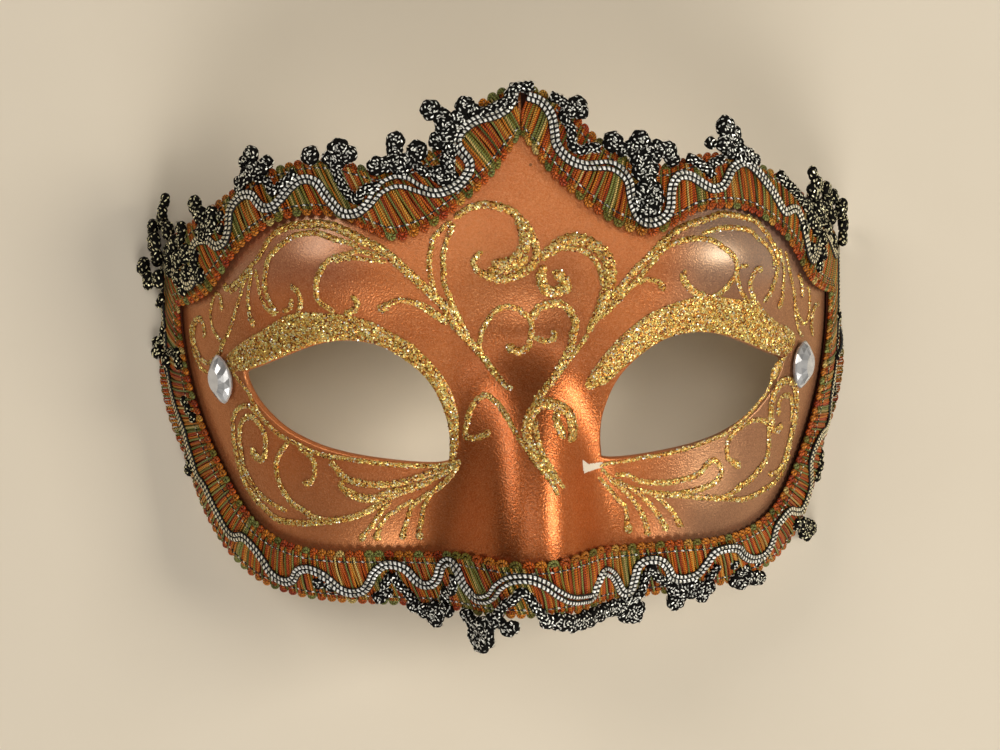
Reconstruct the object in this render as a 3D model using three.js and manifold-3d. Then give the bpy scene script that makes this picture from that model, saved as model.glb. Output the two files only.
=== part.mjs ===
// Half mask of the carnival kind, lying face up on the edges of its two temples. A moulded shell
// covers brows, nose and cheeks, a gimp braid in three lengths is glued round its edge, and a
// navette stone is set at each outer eye corner. Millimetres: +X the viewer's right, +Y up the
// forehead, +Z out of the face.
import * as THREE from "three";
import { mergeVertices } from "three/addons/utils/BufferGeometryUtils.js";
import Module from "manifold-3d";

// Driving dimensions. "Side" is the distance round the face from its middle line.
const wall = 1.8; // thickness of the moulded shell
const faceDepth = 49.3; // height of the middle line over the temples' edges, at the hairline
const hairline = 38; // where the middle line is highest
const leanLength = 520; // the middle line falls by distance squared over this
const turn = 72; // degrees that the face has turned back 100 mm round from the middle
const turnPower = 1.5; // the turning grows with this power of the distance
const squeeze = 6; // degrees that the cheeks turn back more than the temples
const noseRise = 20, noseTop = 2, noseLength = 46, noseRoot = 8, noseSpread = 7;
const browRise = 4.5, browSide = 44, browHeight = 21;
const cheekRise = 3, cheekSide = 42, cheekHeight = -38;
const rootDip = 3; // hollow between the brows
const glue = 0.4; // between the shell and what is glued on it
const braidThick = 2; // woven band
const cordRise = 1.1; // the serpentine cord on the band
const cordWave = 20; // one wave of the cord, along the edge
const stoneLong = 11.6, stoneWide = 7.4, stoneHigh = 3;
const stoneSide = 74, stoneY = -3.1;
const stoneLean = 0.12; // how far its upper end leans out, as a share of its length
const middleY = -2.5; // the footprint's middle, from the line between the temples' centres
const shellColumns = 50, shellRows = 13;
const braidStep = 3.3;

// Right half of the braid: [side, y] of its outer edge, which is the shell's edge too, then of its
// inner edge, from the forehead's peak to the temple and from the temple to under the nose.
const upperRun = [
  [0.35, 59, 0.35, 48.8], [5.5, 57, 3.4, 44.7], [11, 53, 7, 40.1], [15.5, 48.1, 11.5, 36],
  [20.4, 44.2, 16.4, 32], [25.8, 41.6, 21.8, 28.6], [31.4, 41, 27.7, 27], [37, 42.5, 33.3, 29.2],
  [42.7, 43.9, 38.8, 32], [49.3, 43.9, 46, 33.2], [56.6, 42.5, 52.8, 32.6], [64, 40.1, 59.2, 30.1],
  [71.8, 37, 65.2, 26.6], [80, 33.8, 71, 21.8], [89, 31.5, 77, 17.8], [97.5, 30.4, 84.5, 16],
  [104, 30, 92.5, 15.7],
];
const lowerRun = [
  [104, 29.4, 92.5, 15], [104, 19.8, 92, 9.5], [104, 9.5, 90.6, 3.4], [103.6, -1, 88.5, -3],
  [101.8, -8.5, 85.7, -9.2], [98.6, -16.5, 82.4, -15], [93.6, -25, 78.3, -21.3],
  [87, -33.2, 73.5, -27.7], [79.5, -40.3, 69.2, -32.8], [71.9, -46, 64, -37],
  [63.7, -50.3, 58.2, -39.9], [54, -52.8, 50.8, -41.8], [43.6, -53.9, 42.4, -42.5],
  [34.2, -54.3, 34, -42.6], [26.5, -54.6, 27, -43], [19.3, -54, 20.4, -42.7], [11.7, -51.4, 13.6, -40.5],
  [5.8, -49.3, 7.2, -38.4], [0, -48.8, 0, -37.7],
];
const eyeHole = [
  [17.1, -22.7], [16.9, -18.4], [17.3, -14.4], [18.4, -10.9], [19.9, -7.5], [21.9, -4.5],
  [24.9, -1.5], [28.9, 1.4], [32.9, 3.4], [38, 4.5], [43.1, 4.5], [48.3, 3.6], [53.6, 2.1],
  [58.9, 0.5], [63.7, -0.8], [66.7, -1.5], [67.2, -2.4], [66.1, -5.1], [63.7, -8.5], [60, -12],
  [55.8, -15], [50.6, -17.5], [45.3, -19.4], [39.1, -20.9], [32, -22.1], [24.9, -23], [19.9, -23.2],
];
// Sprigs: side and y of the middle, reach of the lobes, heading of the top lobe in degrees.
const sprigs = {
  upperLeft: [[-16.5, 51.8, 5.2, 165], [-27.5, 44.8, 5.2, 80], [-41, 45.2, 4.4, 95], [-47.5, 45.4, 2.8, 90],
    [-63, 43.5, 5.8, 70], [-80.5, 35.3, 6.4, 130], [-97, 31.5, 5.5, 110], [-10.5, 54.8, 2.9, 60]],
  upperRight: [[12.4, 53.6, 3, 60], [20.7, 46.6, 3.2, 80], [27, 45.2, 4.4, 90], [33.5, 44.3, 3.6, 80],
    [45, 46.3, 2.8, 100], [50, 47.8, 4.8, 90], [66.7, 39.5, 3.2, 70], [74, 36.8, 2.6, 60],
    [85.5, 37, 6, 80], [97, 32.5, 4.5, 80]],
  lower: [[99, -12, 3.2, 0], [88, -27, 4, -30], [76.5, -42, 4.2, -50], [67, -43.8, 3.8, -60],
    [60, -52.3, 4.2, -80], [53.5, -53.6, 2.8, -90], [44.5, -54.8, 3.6, -80], [36.5, -55.8, 3.6, -90],
    [23, -56.4, 3.2, -80], [16.5, -55.2, 2.9, -80], [2.8, -50.4, 2.4, -80], [-5.4, -51.2, 2.8, -80],
    [-11.3, -54.4, 4.6, -90], [-21, -55.6, 4.8, -90], [-32.7, -53.4, 2.8, -100], [-47, -52.4, 2.8, -90],
    [-66, -46.5, 3.2, -120], [-82, -33, 3.4, -140], [-89, -25.5, 4.4, -150], [-98, -14, 4, 180]],
};

const wasm = await Module();
wasm.setup();

const smooth = (t) => { const c = Math.min(1, Math.max(0, t)); return c * c * (3 - 2 * c); };
const bell = (x, w, y, h) => Math.exp(-((x / w) ** 2) - (y / h) ** 2);

// What the moulding adds along the normal: nose, hollow at its root, brows, cheeks.
function relief(side, y) {
  const a = Math.abs(side);
  const down = (noseTop - y) / noseLength;
  const width = noseRoot + noseSpread * Math.min(1, Math.max(0, down));
  return noseRise * smooth(down * 0.92 + 0.1) * Math.exp(-((a / width) ** 2.6))
    - rootDip * bell(side, 12, y - 4, 10)
    + browRise * bell(a - browSide, 21, y - browHeight, 11)
    + cheekRise * bell(a - cheekSide, 20, y - cheekHeight, 13);
}

// Point of the face at a distance round it and up it, lifted off it along the normal.
function face(side, y, lift = 0) {
  const most = THREE.MathUtils.degToRad(turn + squeeze * smooth((10 - y) / 60));
  let across = 0, drop = 0;
  const steps = 16;
  for (let i = 0; i < steps; i++) {
    const angle = most * ((Math.abs(side) / 100) * ((i + 0.5) / steps)) ** turnPower;
    across += (Math.cos(angle) * side) / steps;
    drop += (Math.sin(angle) * Math.abs(side)) / steps;
  }
  const angle = Math.sign(side) * most * (Math.abs(side) / 100) ** turnPower;
  const slope = (-2 * (y - hairline)) / leanLength;
  const normal = new THREE.Vector3(Math.sin(angle), -slope * Math.cos(angle), Math.cos(angle));
  normal.normalize();
  const place = new THREE.Vector3(across, y - middleY, faceDepth - (y - hairline) ** 2 / leanLength - drop);
  return place.addScaledVector(normal, relief(side, y) + lift);
}

// Closed solid from a list of points and triangles; it is turned right side out.
function solid(points, triangles) {
  const g = new THREE.BufferGeometry().setFromPoints(points);
  g.setIndex(triangles);
  const made = toSolid(g);
  if (made.volume() >= 0) return made;
  g.setIndex(triangles.slice().reverse());
  return toSolid(g);
}
function toSolid(geometry) {
  const g = geometry.clone();
  g.deleteAttribute("normal");
  g.deleteAttribute("uv");
  const m = mergeVertices(g, 1e-3);
  return new wasm.Manifold(new wasm.Mesh({
    numProp: 3, vertProperties: m.attributes.position.array, triVerts: new Uint32Array(m.index.array),
  }));
}
// Tube of closed rings, one after the other, with both ends capped.
function loft(rings) {
  const n = rings[0].length, triangles = [];
  const points = rings.flat();
  for (let r = 0; r + 1 < rings.length; r++)
    for (let i = 0; i < n; i++) {
      const a = r * n + i, b = r * n + ((i + 1) % n);
      triangles.push(a, b, b + n, a, b + n, a + n);
    }
  const last = (rings.length - 1) * n;
  for (let i = 1; i + 1 < n; i++) triangles.push(0, i + 1, i, last, last + i, last + i + 1);
  return solid(points, triangles);
}
function mesh(name, made, colour, roughness, metalness = 0) {
  const { vertProperties, triVerts } = made.getMesh();
  const g = new THREE.BufferGeometry();
  g.setAttribute("position", new THREE.BufferAttribute(new Float32Array(vertProperties), 3));
  g.setIndex(new THREE.BufferAttribute(new Uint32Array(triVerts), 1));
  g.computeVertexNormals();
  const m = new THREE.Mesh(g, new THREE.MeshStandardMaterial({ color: colour, roughness, metalness }));
  m.name = name;
  return m;
}

// Smooth line through rows of numbers, read at a fraction of its length.
function line(rows) {
  const outer = new THREE.CatmullRomCurve3(rows.map((r) => new THREE.Vector3(r[0], r[1], 0)));
  const inner = new THREE.CatmullRomCurve3(rows.map((r) => new THREE.Vector3(r[2], r[3], 0)));
  return (f) => {
    const t = outer.getUtoTmapping(f), a = outer.getPoint(t), b = inner.getPoint(t);
    return [a.x, a.y, b.x, b.y];
  };
}
const mirrored = (rows) => rows.map(([a, b, c, d]) => [-a, b, -c, d]);

// Shell: a grid from the lower edge to the upper edge, outside and inside, then the eye holes.
function edgeHeight(rows) {
  const at = line(rows), samples = [];
  for (let i = 0; i <= 400; i++) samples.push(at(i / 400));
  samples.sort((a, b) => a[0] - b[0]);
  return (side) => {
    const i = Math.max(1, samples.findIndex((p) => p[0] >= Math.abs(side)));
    const a = samples[i - 1], b = samples[i] || samples.at(-1);
    return a[1] + ((b[1] - a[1]) * Math.min(1, Math.max(0, (Math.abs(side) - a[0]) / (b[0] - a[0] || 1))));
  };
}
const shellSide = 104;
const top = edgeHeight(upperRun), bottom = edgeHeight(lowerRun.slice(3).reverse());
function shellPoint(i, j, lift) {
  const side = shellSide * (i / (shellColumns / 2) - 1);
  const low = Math.abs(side) > 103.4 ? -1 : bottom(side);
  return face(side, low + ((top(side) - low) * j) / shellRows, lift);
}
function moulded() {
  const points = [], triangles = [], row = shellRows + 1, layer = (shellColumns + 1) * row;
  for (const lift of [0, -wall])
    for (let i = 0; i <= shellColumns; i++) for (let j = 0; j <= shellRows; j++) points.push(shellPoint(i, j, lift));
  const quad = (a, b, c, d) => triangles.push(a, b, c, a, c, d);
  for (let i = 0; i < shellColumns; i++)
    for (let j = 0; j < shellRows; j++) {
      const a = i * row + j;
      quad(a, a + row, a + row + 1, a + 1);
      quad(layer + a, layer + a + 1, layer + a + row + 1, layer + a + row);
    }
  for (let i = 0; i < shellColumns; i++)
    for (const [j, flip] of [[0, false], [shellRows, true]]) {
      const a = i * row + j, b = a + row;
      if (flip) quad(a, b, layer + b, layer + a);
      else quad(b, a, layer + a, layer + b);
    }
  for (let j = 0; j < shellRows; j++)
    for (const [i, flip] of [[0, true], [shellColumns, false]]) {
      const a = i * row + j;
      if (flip) quad(a, a + 1, layer + a + 1, layer + a);
      else quad(a + 1, a, layer + a, layer + a + 1);
    }
  return solid(points, triangles);
}
// Plug that cuts one eye hole square to the face.
function eyePlug(sign) {
  const loop = eyeHole.slice().reverse();
  const caps = THREE.ShapeUtils.triangulateShape(loop.map(([s, y]) => new THREE.Vector2(s, y)), []);
  const n = loop.length, triangles = [];
  const points = [-6, 5].flatMap((lift) => loop.map(([s, y]) => face(sign * s, y, lift)));
  for (const [a, b, c] of caps) triangles.push(a, c, b, n + a, n + b, n + c);
  for (let i = 0; i < n; i++) {
    const j = (i + 1) % n;
    triangles.push(i, j, n + j, i, n + j, n + i);
  }
  return solid(points, triangles);
}
// Everything stands on the table with real flats, so nothing reaches below it.
const overTable = toSolid(new THREE.BoxGeometry(400, 400, 200).translate(0, 0, 100));

// Braid: a woven band along the edge, with the crest of the serpentine cord, and its sprigs.
function braid(rows, sprigs, startWave) {
  const at = line(rows);
  const here = (f) => { const [a, b] = at(f); return face(a, b, 0); };
  let length = 0;
  for (let i = 0; i < 300; i++) length += here(i / 300).distanceTo(here((i + 1) / 300));
  const count = Math.round(length / braidStep), rings = [];
  for (let i = 0; i <= count; i++) {
    const f = i / count, [a, b, c, d] = at(f);
    const across = (t, lift) => face(a + (c - a) * t, b + (d - b) * t, lift);
    const wave = 0.45 + 0.25 * Math.sin((2 * Math.PI * f * length) / cordWave + startWave);
    const height = glue + braidThick;
    rings.push([across(0, glue), across(0, height - 0.5), across(wave - 0.16, height),
      across(wave, height + cordRise), across(wave + 0.16, height), across(1, height - 0.7),
      across(1, glue), across(0.5, glue)]);
  }
  let made = loft(rings);
  for (const row of sprigs) made = made.add(sprig(...row));
  return made.intersect(overTable);
}
// Point over the face that keeps above the table: what would be lower bends outwards by as much.
function looseEnd(side, y, lift) {
  const p = face(side, y, lift), low = Math.max(0, 1.8 - p.z);
  return p.add(new THREE.Vector3(Math.sign(side) * low * 0.8, 0, low));
}
// Trefoil lump of looped cord that stands off the band's outer edge, with a stem back to the band.
// High on the mask it follows the face, and near the table it is flat.
function sprig(side, y, reach, heading) {
  const h = THREE.MathUtils.degToRad(heading), lift = glue + 1.9, step = 0.5;
  const centre = looseEnd(side, y, lift);
  const top = looseEnd(side + step * Math.cos(h), y + step * Math.sin(h), lift).sub(centre).normalize();
  const beside = looseEnd(side - step * Math.sin(h), y + step * Math.cos(h), lift).sub(centre);
  const thick = new THREE.Vector3().crossVectors(top, beside).normalize();
  beside.crossVectors(thick, top);
  const ring = (scale, up) => Array.from({ length: 9 }, (_, i) => {
    const w = (2 * Math.PI * i) / 9, stem = centre.z > 12 && (i === 4 || i === 5) ? 0.34 : 0;
    const r = reach * scale * (0.74 + stem + 0.26 * Math.cos(3 * w));
    if (centre.z > 12) return face(side + r * Math.cos(w + h), y + r * Math.sin(w + h), lift + up);
    return centre.clone().addScaledVector(top, r * Math.cos(w)).addScaledVector(beside, r * Math.sin(w))
      .addScaledVector(thick, up);
  });
  return loft([ring(0.78, -1.2), ring(1, 0), ring(0.66, 1.3)]);
}

// Stone: a navette, flat at the back, with a girdle and a table.
function stone(sign) {
  const foot = face(sign * stoneSide, stoneY, glue);
  const up = face(sign * stoneSide, stoneY, 1).sub(face(sign * stoneSide, stoneY, 0)).normalize();
  const upright = new THREE.Vector3(sign * stoneLean, 1, 0).normalize();
  const long = upright.addScaledVector(up, -upright.dot(up)).normalize();
  const wide = new THREE.Vector3().crossVectors(long, up);
  const ring = (scale, lift) => Array.from({ length: 16 }, (_, i) => {
    const w = (2 * Math.PI * i) / 16, k = Math.abs(Math.sin(w)) ** 1.25 * Math.sign(Math.sin(w));
    return foot.clone().addScaledVector(long, (stoneLong / 2) * scale * Math.cos(w))
      .addScaledVector(wide, (stoneWide / 2) * scale * k).addScaledVector(up, lift);
  });
  return loft([ring(0.9, 0), ring(1, 0.9), ring(0.82, 2.1), ring(0.5, stoneHigh)]);
}

const group = new THREE.Group();
const shell = moulded().subtract(eyePlug(1)).subtract(eyePlug(-1)).intersect(overTable);
group.add(mesh("shell", shell, 0xb0683f, 0.4, 0.6));
group.add(mesh("braid_upper_right", braid(upperRun, sprigs.upperRight, 1.2), 0xbe5a1e, 0.9));
group.add(mesh("braid_upper_left", braid(mirrored(upperRun), sprigs.upperLeft, 1.2), 0xbe5a1e, 0.9));
const lowerWhole = [...lowerRun, ...mirrored(lowerRun).reverse().slice(1)];
group.add(mesh("braid_lower", braid(lowerWhole, sprigs.lower, 0), 0xbe5a1e, 0.9));
group.add(mesh("stone_right", stone(1), 0xe8e8ee, 0.1, 0.3));
group.add(mesh("stone_left", stone(-1), 0xe8e8ee, 0.1, 0.3));

export default group;
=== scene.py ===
"""Half mask of the carnival kind, lying face up: a moulded shell painted copper, scrollwork of
gold glitter glue, a gimp braid with a silver serpentine and bouclé sprigs, two navette stones.
Patterns are laid out in millimetres on the unrolled face: side is the distance round it from its
middle line, y the distance up it. Meshes are in metres."""
import math

import bpy
import numpy as np
from mathutils import Matrix, Vector


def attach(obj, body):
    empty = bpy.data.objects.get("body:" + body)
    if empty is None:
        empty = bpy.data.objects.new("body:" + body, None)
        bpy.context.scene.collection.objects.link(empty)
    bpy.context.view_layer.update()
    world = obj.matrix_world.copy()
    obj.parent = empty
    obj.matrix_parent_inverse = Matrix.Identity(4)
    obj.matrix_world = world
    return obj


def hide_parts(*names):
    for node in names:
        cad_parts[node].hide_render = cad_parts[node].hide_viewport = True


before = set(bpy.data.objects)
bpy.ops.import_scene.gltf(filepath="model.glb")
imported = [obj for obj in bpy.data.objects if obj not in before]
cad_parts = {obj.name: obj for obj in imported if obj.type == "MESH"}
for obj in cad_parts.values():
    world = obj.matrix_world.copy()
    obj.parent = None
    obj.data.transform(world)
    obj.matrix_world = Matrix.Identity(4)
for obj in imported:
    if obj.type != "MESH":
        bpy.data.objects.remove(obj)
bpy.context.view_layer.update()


# Shell. The real piece is pressed or cast in a mould from a white paper and plaster mix, trimmed
# round the edge and the eyes, and sprayed with copper pearl paint over its whole face.
wall, round_eye, back_bevel = 1.8, 0.5, 0.3
face_depth, hairline, lean_length, middle_y = 49.3, 38, 520, -2.5
turn, turn_power, turn_parts = 72, 1.5, 16
squeeze, squeeze_from, squeeze_over = 6, 10, 60
nose_rise, nose_top, nose_length, nose_root, nose_spread = 20, 2, 46, 8, 7
nose_start, nose_gain, nose_flank = 0.1, 0.92, 2.6
root_dip, root_y, root_wide, root_high = 3, 4, 12, 10
brow_rise, brow_side, brow_y, brow_wide, brow_high = 4.5, 44, 21, 21, 11
cheek_rise, cheek_side, cheek_y, cheek_wide, cheek_high = 3, 42, -38, 20, 13
# Outlines of the right half, each point as side and y: the edge from the peak to the temple, from
# there under the cheek to the nose, and the eye hole.
upper_edge = [
    (0, 59.2), (5.5, 57), (11, 53), (15.5, 48.1), (20.4, 44.2), (25.8, 41.6), (31.4, 41), (37, 42.5),
    (42.7, 43.9), (49.3, 43.9), (56.6, 42.5), (64, 40.1), (71.8, 37), (80, 33.8), (89, 31.5), (97.5, 30.4),
    (104, 30)]
lower_edge = [
    (104, 29.4), (104, 19.8), (104, 9.5), (103.6, -1), (101.8, -8.5), (98.6, -16.5), (93.6, -25),
    (87, -33.2), (79.5, -40.3), (71.9, -46), (63.7, -50.3), (54, -52.8), (43.6, -53.9), (34.2, -54.3),
    (26.5, -54.6), (19.3, -54), (11.7, -51.4), (5.8, -49.3), (0, -48.8)]
eye_hole = [
    (17.1, -22.7), (16.9, -18.4), (17.3, -14.4), (18.4, -10.9), (19.9, -7.5), (21.9, -4.5), (24.9, -1.5),
    (28.9, 1.4), (32.9, 3.4), (38, 4.5), (43.1, 4.5), (48.3, 3.6), (53.6, 2.1), (58.9, 0.5), (63.7, -0.8),
    (66.7, -1.5), (67.2, -2.4), (66.1, -5.1), (63.7, -8.5), (60, -12), (55.8, -15), (50.6, -17.5),
    (45.3, -19.4), (39.1, -20.9), (32, -22.1), (24.9, -23), (19.9, -23.2)]
# The paint chip at the right-hand eye is a strip along the lid with a spike at its inner end.
chip_start, chip_end, chip_low, chip_high, chip_slope, chip_fray = 12.3, 17.2, -25, -23.5, 0.05, 0.9
spike_start, spike_end, spike_low, spike_high, spike_slope = 12.1, 14, -24.4, -22.2, 0.85
speck_side, speck_y, speck_radius = 2.1, 42, 0.346


def smooth(t):
    """3t^2 - 2t^3, with t held between 0 and 1."""
    t = np.clip(t, 0, 1)
    return t * t * (3 - 2 * t)


def bell(x, w, y, h):
    """exp(-(x/w)^2 - (y/h)^2)."""
    return np.exp(-(x / w) ** 2 - (y / h) ** 2)


def unit(v):
    """Vectors brought to a length of 1."""
    return v / (np.linalg.norm(v, axis=-1, keepdims=True) + 1e-12)


def distances(line):
    """Distance of each point from the start of its line, along it."""
    steps = np.linalg.norm(np.diff(line, axis=-2), axis=-1)
    return np.concatenate([np.zeros((*steps.shape[:-1], 1)), np.cumsum(steps, axis=-1)], -1)


def relief(side, y):
    """What the moulding adds along the normal: nose ridge, hollow at its root, brows, cheeks."""
    away, down = np.abs(side), (nose_top - y) / nose_length
    width = nose_root + nose_spread * np.clip(down, 0, 1)
    nose = nose_rise * smooth(down * nose_gain + nose_start) * np.exp(-(away / width) ** nose_flank)
    return (nose - root_dip * bell(side, root_wide, y - root_y, root_high)
            + brow_rise * bell(away - brow_side, brow_wide, y - brow_y, brow_high)
            + cheek_rise * bell(away - cheek_side, cheek_wide, y - cheek_y, cheek_high))


def face(side, y, lift):
    """Points of the face in millimetres, lifted off it along its normal. The face turns back by
    most * (|side| / 100)^turn_power, and across and drop are the cosine and the sine of that angle
    averaged over the way out from the middle line; its middle line falls by (y - hairline)^2 /
    lean_length."""
    side, y, lift = np.broadcast_arrays(*(np.asarray(v, float) for v in (side, y, lift)))
    most = np.radians(turn + squeeze * smooth((squeeze_from - y) / squeeze_over))
    part = (np.arange(turn_parts) + 0.5) / turn_parts
    angle = most[..., None] * (np.abs(side)[..., None] / 100 * part) ** turn_power
    across, drop = side * np.cos(angle).mean(-1), np.abs(side) * np.sin(angle).mean(-1)
    end = np.sign(side) * most * (np.abs(side) / 100) ** turn_power
    slope = -2 * (y - hairline) / lean_length
    normal = unit(np.stack([np.sin(end), -slope * np.cos(end), np.cos(end)], -1))
    height = face_depth - (y - hairline) ** 2 / lean_length - drop
    return np.stack([across, y - middle_y, height], -1) + normal * (relief(side, y) + lift)[..., None]


def over_table(points, least=0.0):
    """Keeps points above the table: what would reach below it is raised to it and bends outwards
    by 0.8 of the rise."""
    low = np.maximum(least - points[..., 2], 0)
    return points + np.stack([np.sign(points[..., 0]) * low * 0.8, 0 * low, low], -1)


def curve(points, step=None, count=None, fine=24):
    """Catmull-Rom line through the points, read at even distances along its first two columns:
    either about step apart, or count of them. It is worked out at fine places a span."""
    p = np.asarray(points, float)
    p = np.vstack([2 * p[0] - p[1], p, 2 * p[-1] - p[-2]])
    t = np.linspace(0, len(p) - 3, fine * (len(p) - 3) + 1)
    k = np.minimum(t.astype(int), len(p) - 4)
    f = (t - k)[:, None]
    a, b, c, d = p[k], p[k + 1], p[k + 2], p[k + 3]
    square, cube = 2 * a - 5 * b + 4 * c - d, 3 * b - a - 3 * c + d
    q = 0.5 * (2 * b + (c - a) * f + square * f ** 2 + cube * f ** 3)
    run = distances(q[:, :2])
    at = np.linspace(0, run[-1], count or max(3, round(run[-1] / step) + 1))
    return np.stack([np.interp(at, run, column) for column in q.T], -1)


def grid(rows, columns, strips=1, closed=(False, True)):
    """Quads over strips * rows * columns points, as point numbers and as (strip, row, column) of
    each corner before it wraps round, for UVs."""
    r = rows if closed[0] else rows - 1
    c = columns if closed[1] else columns - 1
    s, i, j = np.meshgrid(np.arange(strips), np.arange(r), np.arange(c), indexing="ij")
    corner_i = np.stack([i, i + 1, i + 1, i], -1).reshape(-1, 4)
    corner_j = np.stack([j, j, j + 1, j + 1], -1).reshape(-1, 4)
    s = np.repeat(s.reshape(-1, 1), 4, 1)
    return (s * rows + corner_i % rows) * columns + corner_j % columns, (s, corner_i, corner_j)


def piece(name, points, faces, finishes, uv=None, tint=None, kinds=None, flat=False):
    """Makes the mesh from points in millimetres and rides it on the body. uv has a pair for each
    corner of each face, tint a colour for each point, kinds a finish's number for each face."""
    mesh = bpy.data.meshes.new(name)
    faces = faces if isinstance(faces, list) else faces.tolist()
    mesh.from_pydata((np.reshape(points, (-1, 3)) / 1000).tolist(), [], faces)
    if uv is not None:
        layer = mesh.uv_layers.new(name="pattern")
        layer.data.foreach_set("uv", np.asarray(uv, np.float32).ravel())
    if tint is not None:
        layer = mesh.attributes.new("tint", "FLOAT_COLOR", "POINT")
        rgba = np.ones((len(mesh.vertices), 4), np.float32)
        rgba[:, :3] = np.clip(tint, 0, 1).reshape(-1, 3)
        layer.data.foreach_set("color", rgba.ravel())
    for finish in finishes:
        mesh.materials.append(finish)
    if kinds is not None:
        mesh.polygons.foreach_set("material_index", np.asarray(kinds, np.int32))
    mesh.polygons.foreach_set("use_smooth", np.full(len(mesh.polygons), not flat))
    mesh.validate()
    mesh.update()
    made = bpy.data.objects.new(name, mesh)
    bpy.context.scene.collection.objects.link(made)
    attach(made, "root")
    return made


def paint(red, green, blue):
    """Linear colour of a screen colour given in 0 to 255."""
    return tuple(((v / 255 + 0.055) / 1.055) ** 2.4 if v > 10 else v / 3295
                 for v in (red, green, blue)) + (1.0,)


def operator(operation, swapped=False):
    """A method that adds a Math node on a number and another, which comes first if swapped."""
    def method(self, other):
        return self.finish.maths(operation, *((other, self) if swapped else (self, other)))
    return method


class Wire:
    """A number travelling through a material; arithmetic on it adds Math nodes."""

    __add__ = __radd__ = operator("ADD")
    __sub__, __rsub__ = operator("SUBTRACT"), operator("SUBTRACT", swapped=True)
    __mul__ = __rmul__ = operator("MULTIPLY")
    __truediv__, __pow__ = operator("DIVIDE"), operator("POWER")
    __gt__, __lt__ = operator("GREATER_THAN"), operator("LESS_THAN")

    def __init__(self, finish, socket):
        self.finish, self.socket = finish, socket

    def call(self, operation, *others):
        """Any other Math node on this number and the others."""
        return self.finish.maths(operation, self, *others)

    def soft(self, low, high):
        """0 at low, 1 at high and smooth between, where low may be the larger of the two."""
        return self.finish.node("ShaderNodeMapRange", {"interpolation_type": "SMOOTHSTEP"},
                                {"Value": self, "From Min": low, "From Max": high})


class Finish:
    """A material under construction."""

    def __init__(self, name):
        self.material = bpy.data.materials.new(name)
        self.material.use_nodes = True
        self.tree = self.material.node_tree
        self.tree.nodes.clear()

    def node(self, kind, settings=None, sockets=None, out=0):
        """Adds a node: its settings first, a ramp's stops among them, then its sockets."""
        made = self.tree.nodes.new(kind)
        for key, value in (settings or {}).items():
            if key == "stops":
                ramp = made.color_ramp
                while len(ramp.elements) < len(value):
                    ramp.elements.new(0.5)
                for element, (place, colour) in zip(ramp.elements, value):
                    element.position, element.color = place, colour
            else:
                setattr(made, key, value)
        for key, value in (sockets or {}).items():
            if isinstance(value, Wire):
                self.tree.links.new(value.socket, made.inputs[key])
            else:
                made.inputs[key].default_value = value
        return Wire(self, made.outputs[out]) if made.outputs else None

    def maths(self, operation, *values):
        """A Math node on the values."""
        return self.node("ShaderNodeMath", {"operation": operation}, dict(enumerate(values)))

    def place(self):
        """Object coordinates in millimetres."""
        own = self.node("ShaderNodeTexCoord", out="Object")
        return self.node("ShaderNodeVectorMath", {"operation": "SCALE"}, {0: own, "Scale": 1000})

    def pattern(self):
        """The two numbers of the piece's own UV map."""
        own = self.node("ShaderNodeUVMap", {"uv_map": "pattern"})
        split = self.node("ShaderNodeSeparateXYZ", sockets={0: own})
        return split, Wire(self, split.socket.node.outputs[1])

    def tint(self):
        """The colour that each point of the piece holds."""
        return self.node("ShaderNodeAttribute", {"attribute_name": "tint"}, out="Color")

    def noise(self, place, size, detail=2.0, rough=0.5):
        """Noise from 0 to 1 whose lumps are about size millimetres wide."""
        sockets = {"Vector": place, "Scale": 1 / size, "Detail": detail, "Roughness": rough}
        return self.node("ShaderNodeTexNoise", sockets=sockets)

    def cells(self, place, size, out):
        """Cells about size millimetres wide: the Color of each, or the Distance to its middle."""
        sockets = {"Vector": place, "Scale": 1 / size}
        return self.node("ShaderNodeTexVoronoi", {"feature": "F1"}, sockets, out)

    def mix(self, factor, a, b):
        """a where factor is 0, b where it is 1."""
        return self.node("ShaderNodeMix", {"data_type": "RGBA"}, {0: factor, 6: a, 7: b}, out=2)

    def coats(self, tone, *coats):
        """Lays coats over a tone, each by a mask and in a screen colour."""
        for mask, colour in coats:
            tone = self.mix(mask, tone, paint(*colour))
        return tone

    def bump(self, height, depth, strength=1.0, under=None):
        """Normal of a surface raised by height (0 to 1) times depth in millimetres."""
        sockets = {"Height": height, "Distance": depth / 1000, "Strength": strength}
        if under:
            sockets["Normal"] = under
        return self.node("ShaderNodeBump", sockets=sockets)

    def done(self, **sockets):
        """The Principled shader that ends the material; underscores stand for spaces."""
        values = {key.replace("_", " "): value for key, value in sockets.items()}
        shader = self.node("ShaderNodeBsdfPrincipled", sockets=values)
        self.node("ShaderNodeOutputMaterial", sockets={"Surface": shader})
        return self.material


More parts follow.
